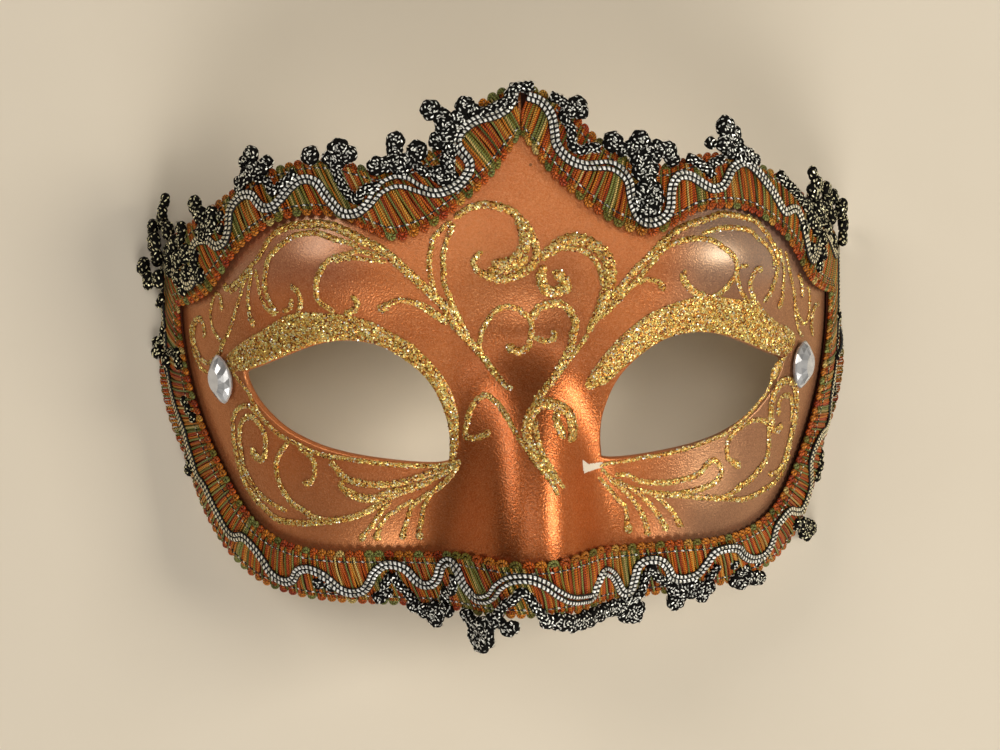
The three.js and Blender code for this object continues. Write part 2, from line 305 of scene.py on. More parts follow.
def copper_pearl():
    """Copper pearl paint with a fine orange-peel grain, and the white chip where it has come off.
    In places sheen, highlights and shade are painted into its colour.
    """
    f = Finish("copper_pearl")
    where = f.place()
    side, y = f.pattern()
    away = side.call("ABSOLUTE")
    cloud = f.noise(where, 24, 3.0, 0.6)
    dust = f.noise(where, 1.1, 3.0, 0.6)
    peel = f.noise(where, 0.42, 2.0, 0.6)
    spark = f.node("ShaderNodeSeparateColor", sockets={0: f.cells(where, 0.24, "Color")})
    # Painted pink sheen on the lower cheeks.
    cheek_sheen = y.soft(-18, -34) * away.soft(22, 34)
    # Painted shade on the brows; the same mask also sets their metal and coat.
    brows = away.soft(30, 44) * y.soft(12, 22)
    # Painted cool grey sheen over the right half, with painted shade over its brow.
    right_half = side.soft(26, 42)
    # Deeper amber over the nose: partly the paint's own tone, partly painted shade; the mask also raises its
    # metal.
    nose = away.soft(24, 12) * y.soft(12, -8)
    # Painted shade in the hollow at the bridge of the nose.
    bridge_shade = away.soft(20, 6) * y.soft(30, 16) * y.soft(-4, 8)
    wander = (f.noise(where, 0.8) - 0.5) * chip_fray
    rise = y + wander * 0.7 + (side - chip_start) * chip_slope
    strip = (side + wander > chip_start) * (side < chip_end)
    strip = strip * (y + wander * 0.6 > chip_low) * (rise < chip_high)
    lean = y + (side - spike_start) * spike_slope
    spike = (side + wander * 0.3 > spike_start) * (side < spike_end) * (y > spike_low) * (lean < spike_high)
    chip = strip.call("MAXIMUM", spike)
    speck = (side - speck_side) ** 2 + (y - speck_y) ** 2 < speck_radius ** 2
    tone = f.coats(
        f.mix(cloud.soft(0.35, 0.68), paint(196, 98, 42), paint(212, 116, 58)),
        (cheek_sheen * 0.5, (196, 126, 82)), (brows * 0.7, (150, 84, 62)), (right_half * 0.8, (142, 110, 91)),
        (right_half * brows * 0.8, (102, 90, 92)), (nose * 0.9, (184, 86, 24)),
        # Painted shade toward the temples, where the face turns away.
        (bridge_shade * 0.55, (136, 62, 20)), (away.soft(56, 70) * 0.5, (116, 70, 42)),
        # Pale specks on the grain's lumps are painted highlights.
        (peel.soft(0.5, 0.75) * 0.22, (255, 196, 140)),
        ((0.5 - dust).call("ABSOLUTE") * 0.9, (110, 40, 16)), (spark * 0.2, (255, 190, 144)),
        (speck * 0.7, (60, 28, 20)), (chip, (236, 228, 214)))
    whole = 1 - chip
    return f.done(Base_Color=tone, Metallic=whole * (0.42 + nose * 0.42 - brows * 0.22),
                  Roughness=0.3 + chip * 0.4 + cloud * 0.06, IOR=2.3,
                  Specular_Tint=(1.0, 0.6, 0.24, 1.0), Normal=f.bump(whole, 0.25, 1.0, f.bump(peel, 0.11)),
                  Coat_Weight=whole * (0.1 + brows * 0.5), Coat_Roughness=0.34, Coat_IOR=1.9)


def bare_cast():
    """Off-white paper and plaster, brushed at the back, with fine fibres and dust."""
    f = Finish("bare_cast")
    where = f.place()
    fibre = f.noise(where, 1.1, 5.0, 0.7)
    stain = f.noise(where, 14, 3.0)
    tone = f.mix(stain.soft(0.3, 0.75), paint(222, 212, 194), paint(196, 180, 156))
    tone = f.coats(tone, (fibre.soft(0.55, 0.8) * 0.35, (150, 128, 104)))
    return f.done(Base_Color=tone, Roughness=0.86, Normal=f.bump(fibre, 0.18, 0.6))


def outline_radius(points, centre, at):
    """Distance from the centre to an outline, read at each angle."""
    line = curve(points, 0.5) - centre
    angle = np.unwrap(np.arctan2(line[:, 1], line[:, 0]))
    order = np.argsort(angle)
    return np.interp(at, angle[order], np.hypot(*line.T)[order], period=math.tau)


# Each half is a ring of quads from the eye hole out to its edge and the middle line: a profile of
# the wall, round at the eye, is carried round the angles about the middle of the eye.
eye_middle = np.array([42.0, -9.0])
spokes, rows_out, rows_in, rows_round = 380, 52, 24, 4
corners = np.array([upper_edge[0], upper_edge[-1], lower_edge[0], lower_edge[-1]]) - eye_middle
corner_angles = np.mod(np.arctan2(corners[:, 1], corners[:, 0]), math.tau)
angles = np.sort(np.concatenate([np.linspace(0, math.tau, spokes, endpoint=False), corner_angles]))
middle_line = [(0, v) for v in np.linspace(58, -48, 60)]
hole = outline_radius(eye_hole + eye_hole[:1], eye_middle, angles)
half = outline_radius(upper_edge[::-1] + middle_line + lower_edge[::-1], eye_middle, angles)
at_middle = (angles > corner_angles[0]) & (angles < corner_angles[3])
half[at_middle] = -eye_middle[0] / np.cos(angles[at_middle])
quarter = np.linspace(0, math.pi / 2, rows_round, endpoint=False)
start = hole + round_eye
inset = np.vstack([
    hole + round_eye * (1 - np.cos(quarter[:, None])),
    start + (half - start) * np.linspace(0, 1, rows_out)[:, None],
    start + (half - start) * np.linspace(1, 0, rows_in)[:, None], hole])
drops = np.concatenate([
    -round_eye * (1 - np.sin(quarter)), np.zeros(rows_out), np.full(rows_in, -wall), [back_bevel - wall]])
side, y = eye_middle[:, None, None] + inset * np.array([np.cos(angles), np.sin(angles)])[:, None]
side[np.abs(side) < 1e-6] = 0
quads, (_, row, spoke) = grid(*inset.shape, closed=(True, True))
corner = row % len(inset), spoke % len(angles)
rim = rows_round + rows_out - 1
meets = at_middle[corner[1]]
kept = ~((row[:, 0] == rim) & meets[:, 0] & meets[:, 3])
bare = (row[kept, 0] >= rim) & (row[kept, 0] < len(inset) - 1)
points, faces, patterns = [], [], []
for sign in (1, -1):
    points.append(over_table(face(sign * side, y, drops[:, None])).reshape(-1, 3))
    faces.append((quads[kept] + (len(faces) * side.size))[:, ::-sign])
    patterns.append(np.stack([sign * side[corner], y[corner]], -1)[kept][:, ::-sign])
shell = piece("shell_painted", np.vstack(points), np.vstack(faces), [copper_pearl(), bare_cast()],
              uv=np.vstack(patterns), kinds=np.tile(bare, 2))
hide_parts("shell")


# Scrollwork. Lines of clear glue full of gold glitter are drawn on the paint from a fine nozzle;
# they dry into low beads, thick where the hand slowed, and a broad band is spread over each lid.
# Each stroke: widths at its start, middle and end, then the points that it passes.
strokes_left = [
    (1.2, 1.2, 1.0, [(-75, 3), (-78.5, 1), (-82, 1), (-85, 3.5), (-86.5, 6.5), (-86, 9), (-84, 11),
        (-82, 10.5), (-81, 8.5), (-81.5, 6.5)]),
    (0.7, 1.0, 0.8, [(-80.5, -1.5), (-83.5, -0.5), (-86, 2), (-87.5, 5), (-88, 8), (-87, 10), (-84.5, 11.5),
        (-82, 11.5)]),
    (1.3, 0.8, 0.9, [(-73.5, 12.5), (-73.5, 16), (-75.5, 16.5), (-77, 14.5), (-78, 12), (-77.5, 9), (-76, 7),
        (-74.5, 5.5)]),
    (1.3, 0.9, 1.1, [(-75, 2.5), (-74.5, 4), (-73, 6), (-71, 8), (-69.5, 10.5), (-68, 13), (-66, 16),
        (-65, 18), (-63, 20.5), (-61.5, 22.5)]),
    (1.5, 1.1, 0.9, [(-71, 19), (-71, 17.5), (-68, 18.5), (-65, 20), (-63, 21.5), (-61, 23)]),
    (0.8, 0.8, 0.8, [(-70, 16.5), (-67.5, 17.5), (-65, 19), (-62.5, 21.5)]),
    (0.9, 1.0, 1.8, [(-61.5, 21.5), (-62.5, 18.5), (-63.5, 16), (-64, 12.5), (-63.5, 10), (-63, 8.5)]),
    (0.9, 0.9, 1.4, [(-60.5, 21.5), (-60, 18), (-59.5, 15), (-58.5, 12.5), (-56, 11)]),
    (1.2, 1.9, 1.2, [(-61, 22.5), (-59.5, 24), (-58, 26), (-57, 27.5), (-55.5, 29), (-53, 30), (-50.5, 30.5),
        (-47.5, 30.5), (-45, 30.5), (-42, 30), (-39.5, 29), (-36.5, 27.5), (-34, 26), (-31, 24.5), (-28, 22),
        (-25.5, 19.5), (-22.5, 16.5), (-20, 14), (-17.5, 11.5), (-15.5, 7.5), (-12.5, 4), (-10, 1), (-7, -3),
        (-4.5, -6), (-3, -6.5)]),
    (1.0, 1.3, 1.0, [(-35, 24), (-36.5, 25.5), (-39.5, 26.5), (-42, 27.5), (-45, 28.5), (-47.5, 28.5),
        (-50.5, 28), (-53, 26.5), (-55, 25), (-56.5, 23.5), (-57.5, 20), (-58, 17), (-57, 13.5),
        (-55.5, 11.5)]),
    (1.1, 1.2, 1.2, [(-51, 17.5), (-49.5, 16), (-49, 14), (-49.5, 12.5), (-50.5, 11)]),
    (1.1, 1.1, 1.1, [(-51, 14.5), (-52, 12.5), (-54, 11.5)]),
    (1.1, 1.2, 1.2, [(-30.5, 22.5), (-33, 23.5), (-35.5, 24), (-37.5, 23.5), (-40, 23), (-42, 22),
        (-43.5, 20), (-44.5, 18), (-45, 16), (-45, 14), (-43.5, 12.5), (-41.5, 11)]),
    (0.9, 0.8, 0.8, [(-29.5, 21.5), (-32.5, 22), (-35.5, 22.5), (-38, 22.5), (-40.5, 22)]),
    (1.3, 1.3, 1.2, [(-37.5, 14.5), (-36.5, 13.5), (-36.5, 12), (-38, 11), (-39.5, 10.5)]),
    (2.1, 1.2, 1.2, [(-32, 11), (-30, 12), (-28, 13), (-26, 13), (-24, 12.5), (-21.5, 11.5), (-19.5, 10),
        (-17, 8.5)]),
    (0.8, 0.8, 0.8, [(-25, 12.5), (-22.5, 11.5), (-20, 9.5), (-17, 7.5)]),
    (1.1, 1.4, 1.2, [(-63.5, -12), (-64.5, -10.5), (-66.5, -9.5), (-69.5, -10), (-71.5, -12), (-72, -14.5),
        (-72, -17.5), (-71.5, -20.5), (-70.5, -24), (-68.5, -28), (-65.5, -31), (-62, -33.5), (-58.5, -35.5),
        (-54, -36), (-50, -36), (-46, -35.5), (-42.5, -35), (-39, -34.5), (-36, -33.5), (-33, -32),
        (-30.5, -30.5), (-27.5, -29), (-24, -28), (-21, -26.5), (-18, -25), (-15, -22.5)]),
    (1.8, 1.3, 0.9, [(-65.5, -19), (-65.5, -20.5), (-63.5, -22), (-62, -21), (-61.5, -18.5), (-62, -15.5),
        (-63.5, -13.5), (-65.5, -12), (-68, -12.5), (-69.5, -14.5), (-70, -17.5), (-69.5, -20.5), (-69, -24),
        (-66.5, -27.5), (-64, -30), (-60, -32), (-55.5, -33.5)]),
    (1.2, 1.3, 1.0, [(-55, -18), (-57, -20), (-58.5, -22.5), (-58.5, -24.5), (-57.5, -27.5), (-56, -29.5),
        (-54, -31.5), (-51, -33), (-48, -34.5), (-44, -35)]),
    (1.2, 1.1, 1.9, [(-52.5, -19), (-50, -20.5), (-48.5, -22), (-48, -24.5), (-48.5, -26), (-49, -27),
        (-51, -27)]),
    (1.4, 1.5, 1.2, [(-44.5, -22), (-42.5, -24), (-40.5, -26), (-37, -27), (-33.5, -27.5), (-30.5, -27.5),
        (-27, -27), (-23.5, -26), (-20.5, -25), (-17, -24), (-14.5, -22.5)]),
    (1.5, 1.7, 1.2, [(-42, -26.5), (-40.5, -28.5), (-37.5, -30), (-34, -30.5), (-31, -29.5), (-27.5, -29),
        (-24, -28), (-21, -27)]),
    (0.9, 1.0, 2.0, [(-25, -31), (-28.5, -33), (-31.5, -35), (-33, -38), (-33.5, -40)]),
    (0.9, 1.1, 1.7, [(-30, -31), (-32, -33), (-34, -36), (-36.5, -39), (-37, -40)]),
    (0.8, 1.1, 1.8, [(-21, -29), (-23, -30.5), (-25.5, -32.5), (-26.5, -35.5), (-27.5, -38.5),
        (-27.5, -40)]),
    (0.8, 1.1, 1.9, [(-20.5, -29), (-22, -31), (-23, -33.5), (-23.5, -36), (-24, -38.5), (-23.5, -40)]),
    (1.0, 1.1, 0.8, [(-15, -23), (-17, -26), (-19, -28), (-21.5, -30)]),
    (0.8, 1.0, 1.0, [(-71, -1.5), (-69, -3.5), (-66.5, -6), (-64.5, -9), (-63, -11.5), (-61, -13.5),
        (-58.5, -15.5), (-56, -17), (-53, -18.2), (-50, -19.6), (-46.5, -20.7), (-41, -21.6), (-35.5, -22.4),
        (-30, -23.2), (-24, -23.6), (-19, -23.6), (-14.5, -22.3)])]
strokes_middle = [
    (0.9, 1.1, 1.0, [(-18.5, 13), (-19.5, 14.5), (-20, 17), (-20.5, 19.5), (-20.5, 22), (-20, 24.5),
        (-19.5, 26.5), (-18, 28), (-17, 29), (-15.5, 30)]),
    (1.2, 1.2, 1.2, [(-12.5, 4.5), (-14, 8), (-15.5, 11), (-16.5, 14), (-17.5, 17), (-17.5, 20),
        (-17.5, 22.5), (-17, 25), (-16, 27.5), (-15, 29.5)]),
    (1.4, 1.8, 1.2, [(-15, 30.5), (-13, 32), (-11, 33), (-8, 33.5), (-5.5, 33), (-2.5, 32), (-0.5, 30),
        (1.5, 27.5), (2.5, 25), (3, 22.5), (2, 20), (0, 18.5), (-2.5, 17.5), (-5.5, 17), (-8, 18), (-10, 19),
        (-11, 21), (-10, 22.5), (-9, 23)]),
    (1.4, 2.6, 2.0, [(-1.5, 30.5), (0, 28), (0.5, 25.5), (0, 23.5), (-1.5, 21.5), (-3.5, 20.5), (-5.5, 20.5),
        (-7, 21)]),
    (1.2, 1.5, 1.2, [(-8, 19.5), (-5.5, 18.8), (-3, 19), (-0.5, 20.2), (1, 22)]),
    (1.8, 2.7, 1.4, [(4, 21), (5.5, 23), (7.5, 24.5), (10, 25.5), (12.5, 25.5), (15, 24.5), (17, 23),
        (18.5, 21), (19, 18.5), (19, 16), (18, 13), (17, 10), (15.5, 7.5), (14.5, 5)]),
    (1.0, 1.2, 1.0, [(6, 22), (8, 23.5), (11, 23.5), (14, 22.5), (16, 20.5), (17, 18), (17.5, 15)]),
    (1.8, 2.4, 2.4, [(5, 20), (4, 18.5), (4, 16.5), (5, 14.5), (6.5, 14), (8.5, 14.5), (9.5, 15), (9, 16.5),
        (7.5, 18), (6.5, 18.5)]),
    (1.0, 1.2, 2.0, [(-9.5, 1), (-10, 2), (-9.5, 5), (-9, 6.5), (-8, 8), (-7, 9.5), (-5.5, 10.5), (-3.5, 11),
        (-1.5, 10.5), (0, 9.5), (1.5, 8), (2, 6), (1.5, 4), (1, 2), (-1, 1), (-2.5, 1.5), (-4, 2.5)]),
    (1.8, 1.7, 1.4, [(1.5, 7.5), (3, 10), (4.5, 11), (7, 11.5), (9, 11), (10.5, 9.5), (11.5, 7), (11, 4.5),
        (10.5, 2), (9.5, 0), (8, -2.5), (6.5, -4.5), (5, -6), (3.5, -7.5), (1.5, -9)]),
    (1.2, 1.2, 1.7, [(2, 4), (3.5, 3.5), (5, 3), (6.5, 3.5), (7, 4.5), (6.5, 5.5)]),
    (1.2, 1.2, 0.8, [(-8, -15), (-10, -16.5), (-11.5, -17), (-13, -17), (-13.5, -16), (-13, -14),
        (-12.5, -12), (-11.5, -10), (-10, -8.5), (-8.5, -8), (-7, -9), (-5.5, -10.5), (-4, -13),
        (-2.5, -15.5), (-1, -18)]),
    (2.4, 2.2, 0.9, [(9, -18), (10, -16.5), (10, -14.5), (9.5, -12.5), (8, -11), (6, -10), (3.5, -9.5),
        (1.5, -10.5), (0, -12.5), (-0.5, -15), (0, -17.5), (1, -19.5), (3, -22), (4.5, -24.5), (5.5, -27)]),
    (1.0, 1.2, 0.7, [(1.5, -12), (1.5, -15), (2.5, -18.5), (4, -21.5), (5.5, -24), (7, -26)]),
    (1.4, 1.8, 1.2, [(8, -17), (6.8, -14.5), (6.3, -12.5), (7, -11.2)])]
strokes_right = [
    (1.0, 1.0, 1.0, [(6.5, -5), (9, -2.3), (11, 0), (12.7, 2.2), (14.3, 4.6)]),
    (1.3, 1.5, 1.2, [(14, 5), (16, 8), (18, 10.5), (20, 13), (22, 15.5), (24.5, 18.5), (26, 20), (28, 22),
        (30, 24), (33, 26.5), (35.5, 28), (38.5, 29), (42, 30), (45, 31), (48.5, 31), (52, 30.5), (55, 30),
        (57, 28.5), (59, 26.5), (61, 24), (62, 22), (62, 19), (61, 16), (60, 13.5), (58, 11.5)]),
    (0.9, 1.1, 0.9, [(17, 8), (19.5, 10.5), (21.5, 12.5), (23.5, 15), (25.5, 17), (27.5, 19.3),
        (29.5, 21.5)]),
    (0.9, 1.2, 1.2, [(39.5, 26.5), (43, 27.5), (46, 28), (49.5, 28), (53, 27.5), (55, 26), (57, 25),
        (59, 23.5), (60.5, 21.5), (60.5, 19)]),
    (1.6, 1.3, 1.3, [(56, 18.5), (54.5, 19), (53, 17.5), (52.5, 15.5), (53.5, 13.5), (55, 12)]),
    (1.0, 1.3, 1.5, [(27.5, 20.5), (30, 22.5), (32, 24), (35, 25), (38.5, 25.5), (42, 25), (44.5, 23.5),
        (47, 21.5), (48, 19), (47.5, 17), (46, 15), (44.5, 13.5), (42.5, 12.5), (40, 13), (37.5, 14),
        (35.5, 16), (35, 17.5), (35.5, 18.5)]),
    (1.2, 1.1, 1.1, [(48, 18), (48.5, 16.5), (50, 14), (52.5, 12)]),
    (0.9, 0.9, 0.9, [(48.2, 19.2), (50, 19.6), (51.2, 19.5)]),
    (1.0, 1.1, 1.6, [(20.5, 12.5), (22.5, 14.5), (25.5, 16), (27.5, 16.5), (29.5, 16), (30.5, 15),
        (31, 14)]),
    (1.0, 1.0, 1.8, [(63, 24), (64, 21.5), (65, 18.5), (65, 15), (65, 12.5), (64, 10)]),
    (0.8, 0.9, 0.9, [(65.5, 23.5), (67, 20), (68.5, 17), (70.5, 13.5), (71.5, 9), (73.5, 5), (75.5, 3.5)]),
    (0.8, 0.9, 0.8, [(71, 11.5), (73, 8.5), (76, 6.5), (78, 7.5), (79, 9.5), (79, 12.5), (78.5, 14.5),
        (77.5, 15.5)]),
    (1.4, 1.2, 1.2, [(71.5, 18), (73, 17.5), (74, 16), (75, 12.5)]),
    (1.0, 1.2, 1.0, [(86, 11.5), (83, 11), (81, 9), (80.5, 6), (82, 3.5)]),
    (1.8, 1.9, 1.3, [(67.5, -17), (66.5, -18.5), (64.5, -18.5), (63.5, -17), (63, -14.5), (63.5, -11),
        (65, -8.5), (67.5, -7), (70, -7), (72, -8), (73.5, -10.5), (74, -13.5), (73.5, -17), (72.5, -19.5),
        (71.5, -22.5), (70, -25.5), (68.5, -27.5), (66, -29), (62.5, -29)]),
    (1.6, 1.2, 1.2, [(66, -15.5), (66, -12.5), (67, -11), (69, -10.5), (71, -11), (72, -13.5), (72, -17)]),
    (1.0, 1.2, 0.9, [(72, -24.5), (70, -27.5), (67.5, -30), (64.5, -31.5), (61, -32.5), (57, -33.5),
        (52.5, -34), (49, -33.5), (44.5, -33), (40, -32.5), (36, -32), (32, -31.5), (28, -31), (24, -30),
        (20.5, -28)]),
    (1.1, 1.4, 0.9, [(56, -16), (58.5, -16), (61, -16.5), (62.5, -17.5), (62.5, -20), (62.5, -23),
        (61.5, -25.5), (59, -27.5), (56, -29.5), (52, -31), (48.5, -32.5), (45, -33)]),
    (1.1, 1.2, 2.0, [(56, -16), (53.5, -17), (51, -18.5), (49, -20.5), (48.5, -23), (49, -24.5), (51.5, -26),
        (52.5, -25.5)]),
    (0.9, 1.3, 1.0, [(20, -27), (23, -27), (26, -28.5), (30, -29), (33, -29), (36, -28.5), (38.5, -28),
        (41, -27), (42.5, -25.5), (44.5, -24.5), (46, -25.5), (46.5, -27.5), (44.5, -29.5), (41.5, -30.5),
        (38.5, -31), (35, -31.5), (31, -32)]),
    (0.8, 1.0, 2.3, [(16, -26.7), (18.5, -29.5), (20.5, -32), (22.5, -34.5), (23, -38), (23.5, -40.3)]),
    (0.8, 1.1, 1.5, [(16.8, -25), (19.5, -28), (22.5, -30.5), (25, -33.5), (27, -37), (28, -41)]),
    (0.8, 1.1, 1.5, [(19.5, -28.5), (24, -30), (27.5, -33), (30, -36), (32.5, -40)]),
    (0.8, 1.1, 1.7, [(28, -31), (30.5, -32.5), (33, -35), (35, -38), (36, -39)]),
    (0.7, 0.9, 0.9, [(16.4, -24.6), (18.5, -24.2), (22.5, -24), (26, -23.4), (30, -23), (34, -22.4),
        (38.5, -21.4), (44.5, -19.9), (48.5, -18.5), (52, -16.5), (55, -14.7), (58.5, -11.9), (61, -9.7),
        (62.5, -7.4), (64, -4.9), (66, -3), (68.5, -0.5)]),
    (1.2, 2.4, 1.0, [(62.5, -6.8), (64.5, -4), (66.5, -2.2)])]
# Bands over the lids: points along the eye hole, then along the band's other edge.
lid_left = (
    [(-71.5, -1.5), (-66.5, -1.3), (-63.7, -0.6), (-58.9, 0.7), (-53.6, 2.3), (-48.3, 3.8), (-43.1, 4.7),
     (-38, 4.7), (-32.9, 3.6), (-28.9, 1.6), (-24.9, -1.3), (-21.9, -4.3), (-19.9, -7.3), (-18.4, -10.7),
     (-17.3, -14.3), (-16.9, -18.4), (-17.1, -22.5)],
    [(-73, 2), (-68.5, 4.5), (-65, 6), (-61, 7.5), (-56, 9.7), (-52, 11), (-48, 11.2), (-42, 10.7),
     (-37, 9.8), (-33, 8.3), (-29, 6), (-25, 3.5), (-21.5, 0), (-18.5, -3.5), (-16.3, -7.5), (-15, -12),
     (-14.8, -17), (-15.5, -21.5)])
lid_right = (
    [(14, -7.8), (17.8, -6.6), (19.5, -5.5), (21.9, -3.2), (24.9, -1), (28.9, 1.7), (32.9, 3.6), (38, 4.7),
     (43.1, 4.7), (48.3, 3.8), (53.6, 2.3), (58.9, 0.7), (63.7, -0.6), (68.5, -0.6), (71, 0.8)],
    [(13.4, -6.5), (14.6, -4.3), (16.8, -1.3), (19.2, 1.5), (22, 4.2), (25, 6.8), (28, 8.9), (31.5, 10.5),
     (36, 12), (40, 13), (44, 12.7), (50, 12), (55.5, 11.8), (60, 8.8), (64.5, 6.6), (68.5, 5.6),
     (72.3, 3.6)])
bead_step, bead_across, bead_rise, film = 0.45, 7, 0.3, 0.02
band_rows, band_across, band_rise = 100, 11, 0.55
grains_on_each_square, grain_tilt, grain_lift = 5.5, 0.34, 0.07


def bead(stroke):
    """Low bead of glue along a line: its height is bead_rise of its width times sqrt(1 - v^2)
    across it, and both ends are round."""
    first, mid, last, points = stroke
    line = curve(points, bead_step)
    t = np.linspace(0, 1, len(line))[:, None]
    width = np.where(t < 0.5, first + (mid - first) * smooth(t * 4), mid + (last - mid) * smooth(t * 4 - 3))
    width = width * np.sqrt(np.clip(np.minimum(t, 1 - t) * len(line) * bead_step / (0.5 * width), 0.02, 1))
    along = unit(np.gradient(line, axis=0))
    v = np.linspace(-1, 1, bead_across)
    wobble = 1 + 0.12 * np.sin(np.arange(len(line)) * 1.7 + points[0][0])[:, None]
    off = v * width / 2 * wobble
    side, y = line[:, :1] - along[:, 1:] * off, line[:, 1:] + along[:, :1] * off
    return side, y, film + bead_rise * width * np.sqrt(1 - 0.96 * v ** 2)


def spread(edges):
    """Band of glue between two lines: band_rise thick, round at both edges and thin at its ends."""
    a, b = (curve(points, count=band_rows) for points in edges)
    v = np.linspace(0, 1, band_across)
    side, y = (first[:, None] + (last - first)[:, None] * v for first, last in zip(a.T, b.T))
    row = np.arange(band_rows)
    ends = np.clip(np.minimum(row, row[::-1]) / 3, 0.05, 1)[:, None]
    return side, y, film + band_rise * np.sqrt(np.clip(1 - np.abs(2 * v - 1) ** 5, 0.03, 1)) * ends


def glue_bed():
    """Clear glue dried over gold dust: dark gold between the grains, glossy."""
    f = Finish("glitter_glue")
    where = f.place()
    pick = f.node("ShaderNodeSeparateColor", sockets={0: f.cells(where, 0.34, "Color")})
    tone = f.node("ShaderNodeValToRGB", {"stops": [
        (0.0, paint(104, 50, 16)), (0.24, paint(150, 80, 28)), (0.28, paint(192, 118, 42)),
        (0.5, paint(214, 150, 60)), (0.75, paint(232, 190, 96)), (1.0, paint(250, 232, 164))]}, {0: pick})
    grit = f.bump(1 - f.cells(where, 0.34, "Distance"), 0.16, 0.8)
    return f.done(Base_Color=tone, Metallic=0.6, Roughness=0.34, Normal=grit,
                  Coat_Weight=0.4, Coat_Roughness=0.12)


def glitter():
    """Foil grains, each with a colour of its own."""
    f = Finish("glitter_grains")
    return f.done(Base_Color=f.tint(), Metallic=0.5, Roughness=0.22 + f.noise(f.place(), 3.0) * 0.12)


def scatter(side, y, lift):
    """Grains on one sheet of glue: six-sided flakes of about 0.4 mm, each tilted by chance."""
    p = over_table(face(side, y, lift))
    a, b = p[1:, :-1] - p[:-1, :-1], p[:-1, 1:] - p[:-1, :-1]
    area = np.linalg.norm(np.cross(a, b), axis=-1)
    n = max(4, int(area.sum() * grains_on_each_square))
    at = np.unravel_index(random.choice(area.size, n, p=(area / area.sum()).ravel()), area.shape)
    u, v = random.random((2, n, 1))
    root = p[at] + a[at] * u + b[at] * v
    up = np.cross(a[at], b[at])
    up = unit(unit(up) * np.sign(up[:, 2:]) + random.normal(0, grain_tilt, (n, 3)))
    one = unit(np.cross(up, random.normal(0, 1, (n, 3))))[:, None]
    size = random.uniform(0.13, 0.25, (n, 1, 1))
    two = np.cross(up[:, None], one)
    w = np.arange(6)[:, None] * math.pi / 3
    return (root + up * grain_lift)[:, None] + size * (one * np.cos(w) + two * np.sin(w))


def loose(name, flakes, tints, finish):
    """Six-sided flakes as one piece, each with a colour of its own."""
    faces = np.arange(len(flakes) * 6).reshape(-1, 6)
    piece(name, flakes, faces, [finish], tint=np.repeat(tints[:, None], 6, 1), flat=True)


grain_colours = np.array([paint(*c)[:3] for c in (
    (250, 226, 128), (236, 204, 100), (214, 170, 72), (255, 250, 186), (255, 255, 244),
    (226, 218, 140), (84, 40, 16), (140, 80, 32), (232, 150, 60))])
grain_odds = [0.22, 0.2, 0.13, 0.16, 0.06, 0.05, 0.06, 0.05, 0.07]
random = np.random.default_rng(7)
finish_glue, finish_grain = glue_bed(), glitter()
drawn = {"left": (strokes_left, [lid_left]), "middle": (strokes_middle, []),
         "right": (strokes_right, [lid_right])}
for part, (strokes, lids) in drawn.items():
    points, faces, flakes, count = [], [], [], 0
    for side, y, lift in [bead(stroke) for stroke in strokes] + [spread(lid) for lid in lids]:
        top = over_table(face(side, y, lift))
        quads = grid(*side.shape, closed=(False, False))[0]
        normal = np.cross(top[1, 0] - top[0, 0], top[0, 1] - top[0, 0])
        points.append(top.reshape(-1, 3))
        faces.append((quads if normal[2] > 0 else quads[:, ::-1]) + count)
        count += side.size
        flakes.append(scatter(side, y, lift))
    piece("scrolls_" + part, np.vstack(points), np.vstack(faces), [finish_glue])
    flakes = np.concatenate(flakes)
    tints = grain_colours[random.choice(len(grain_colours), len(flakes), p=grain_odds)]
    loose("grains_" + part, flakes, tints * random.uniform(0.7, 1.08, (len(flakes), 1)), finish_grain)


# Braid. Woven gimp trim about 11 mm wide in three lengths, glued round the edge: coloured threads
# laid across in groups and looped at both sides, held by two stitched lines of silver thread.
# Each length runs along the edge, and its inner line has a point for each point of the edge.
glue, braid_thick, clearance = 0.4, 2.0, 1.6
peak_side, peak_y = 0.35, 59
inner_upper = [
    (0.35, 48.8), (3.4, 44.7), (7, 40.1), (11.5, 36), (16.4, 32), (21.8, 28.6), (27.7, 27), (33.3, 29.2),
    (38.8, 32), (46, 33.2), (52.8, 32.6), (59.2, 30.1), (65.2, 26.6), (71, 21.8), (77, 17.8), (84.5, 16),
    (92.5, 15.7)]
inner_lower = [
    (92.5, 15), (92, 9.5), (90.6, 3.4), (88.5, -3), (85.7, -9.2), (82.4, -15), (78.3, -21.3), (73.5, -27.7),
    (69.2, -32.8), (64, -37), (58.2, -39.9), (50.8, -41.8), (42.4, -42.5), (34, -42.6), (27, -43),
    (20.4, -42.7), (13.6, -40.8), (7.2, -39.2), (0, -38.8)]


def paired(outer, inner):
    """Rows of side and y at the outer line, then at the inner line."""
    return [(*a, *b) for a, b in zip(outer, inner)]


def mirrored(rows):
    """The same rows on the left half."""
    return [(-a, b, -c, d) for a, b, c, d in rows]


class Run:
    """A length of braid: turns distance along it and share across it (0 outer edge, 1 inner) into
    side and y."""

    def __init__(self, rows):
        self.rows = curve(rows, 0.5)
        self.at = distances((self.rows[:, :2] + self.rows[:, 2:]) / 2)
        self.length = self.at[-1]

    def spot(self, distance, share):
        """Outer edge + (inner edge - outer edge) * share, both read at the distance."""
        a, b, c, d = (np.interp(distance, self.at, column) for column in self.rows.T)
        return a + (c - a) * share, b + (d - b) * share


def directions(side, y, lift):
    """Points over the face, kept clear of the table, and the three directions of the lines through
    them: ahead, across, up."""
    side, y, lift = np.broadcast_arrays(side, y, lift)
    centre, above = (over_table(face(side, y, lift + more), clearance) for more in (0, 0.5))
    ahead = unit(np.gradient(centre, axis=-2))
    across = unit(np.cross(ahead, above - centre))
    return centre, ahead, across, np.cross(across, ahead)


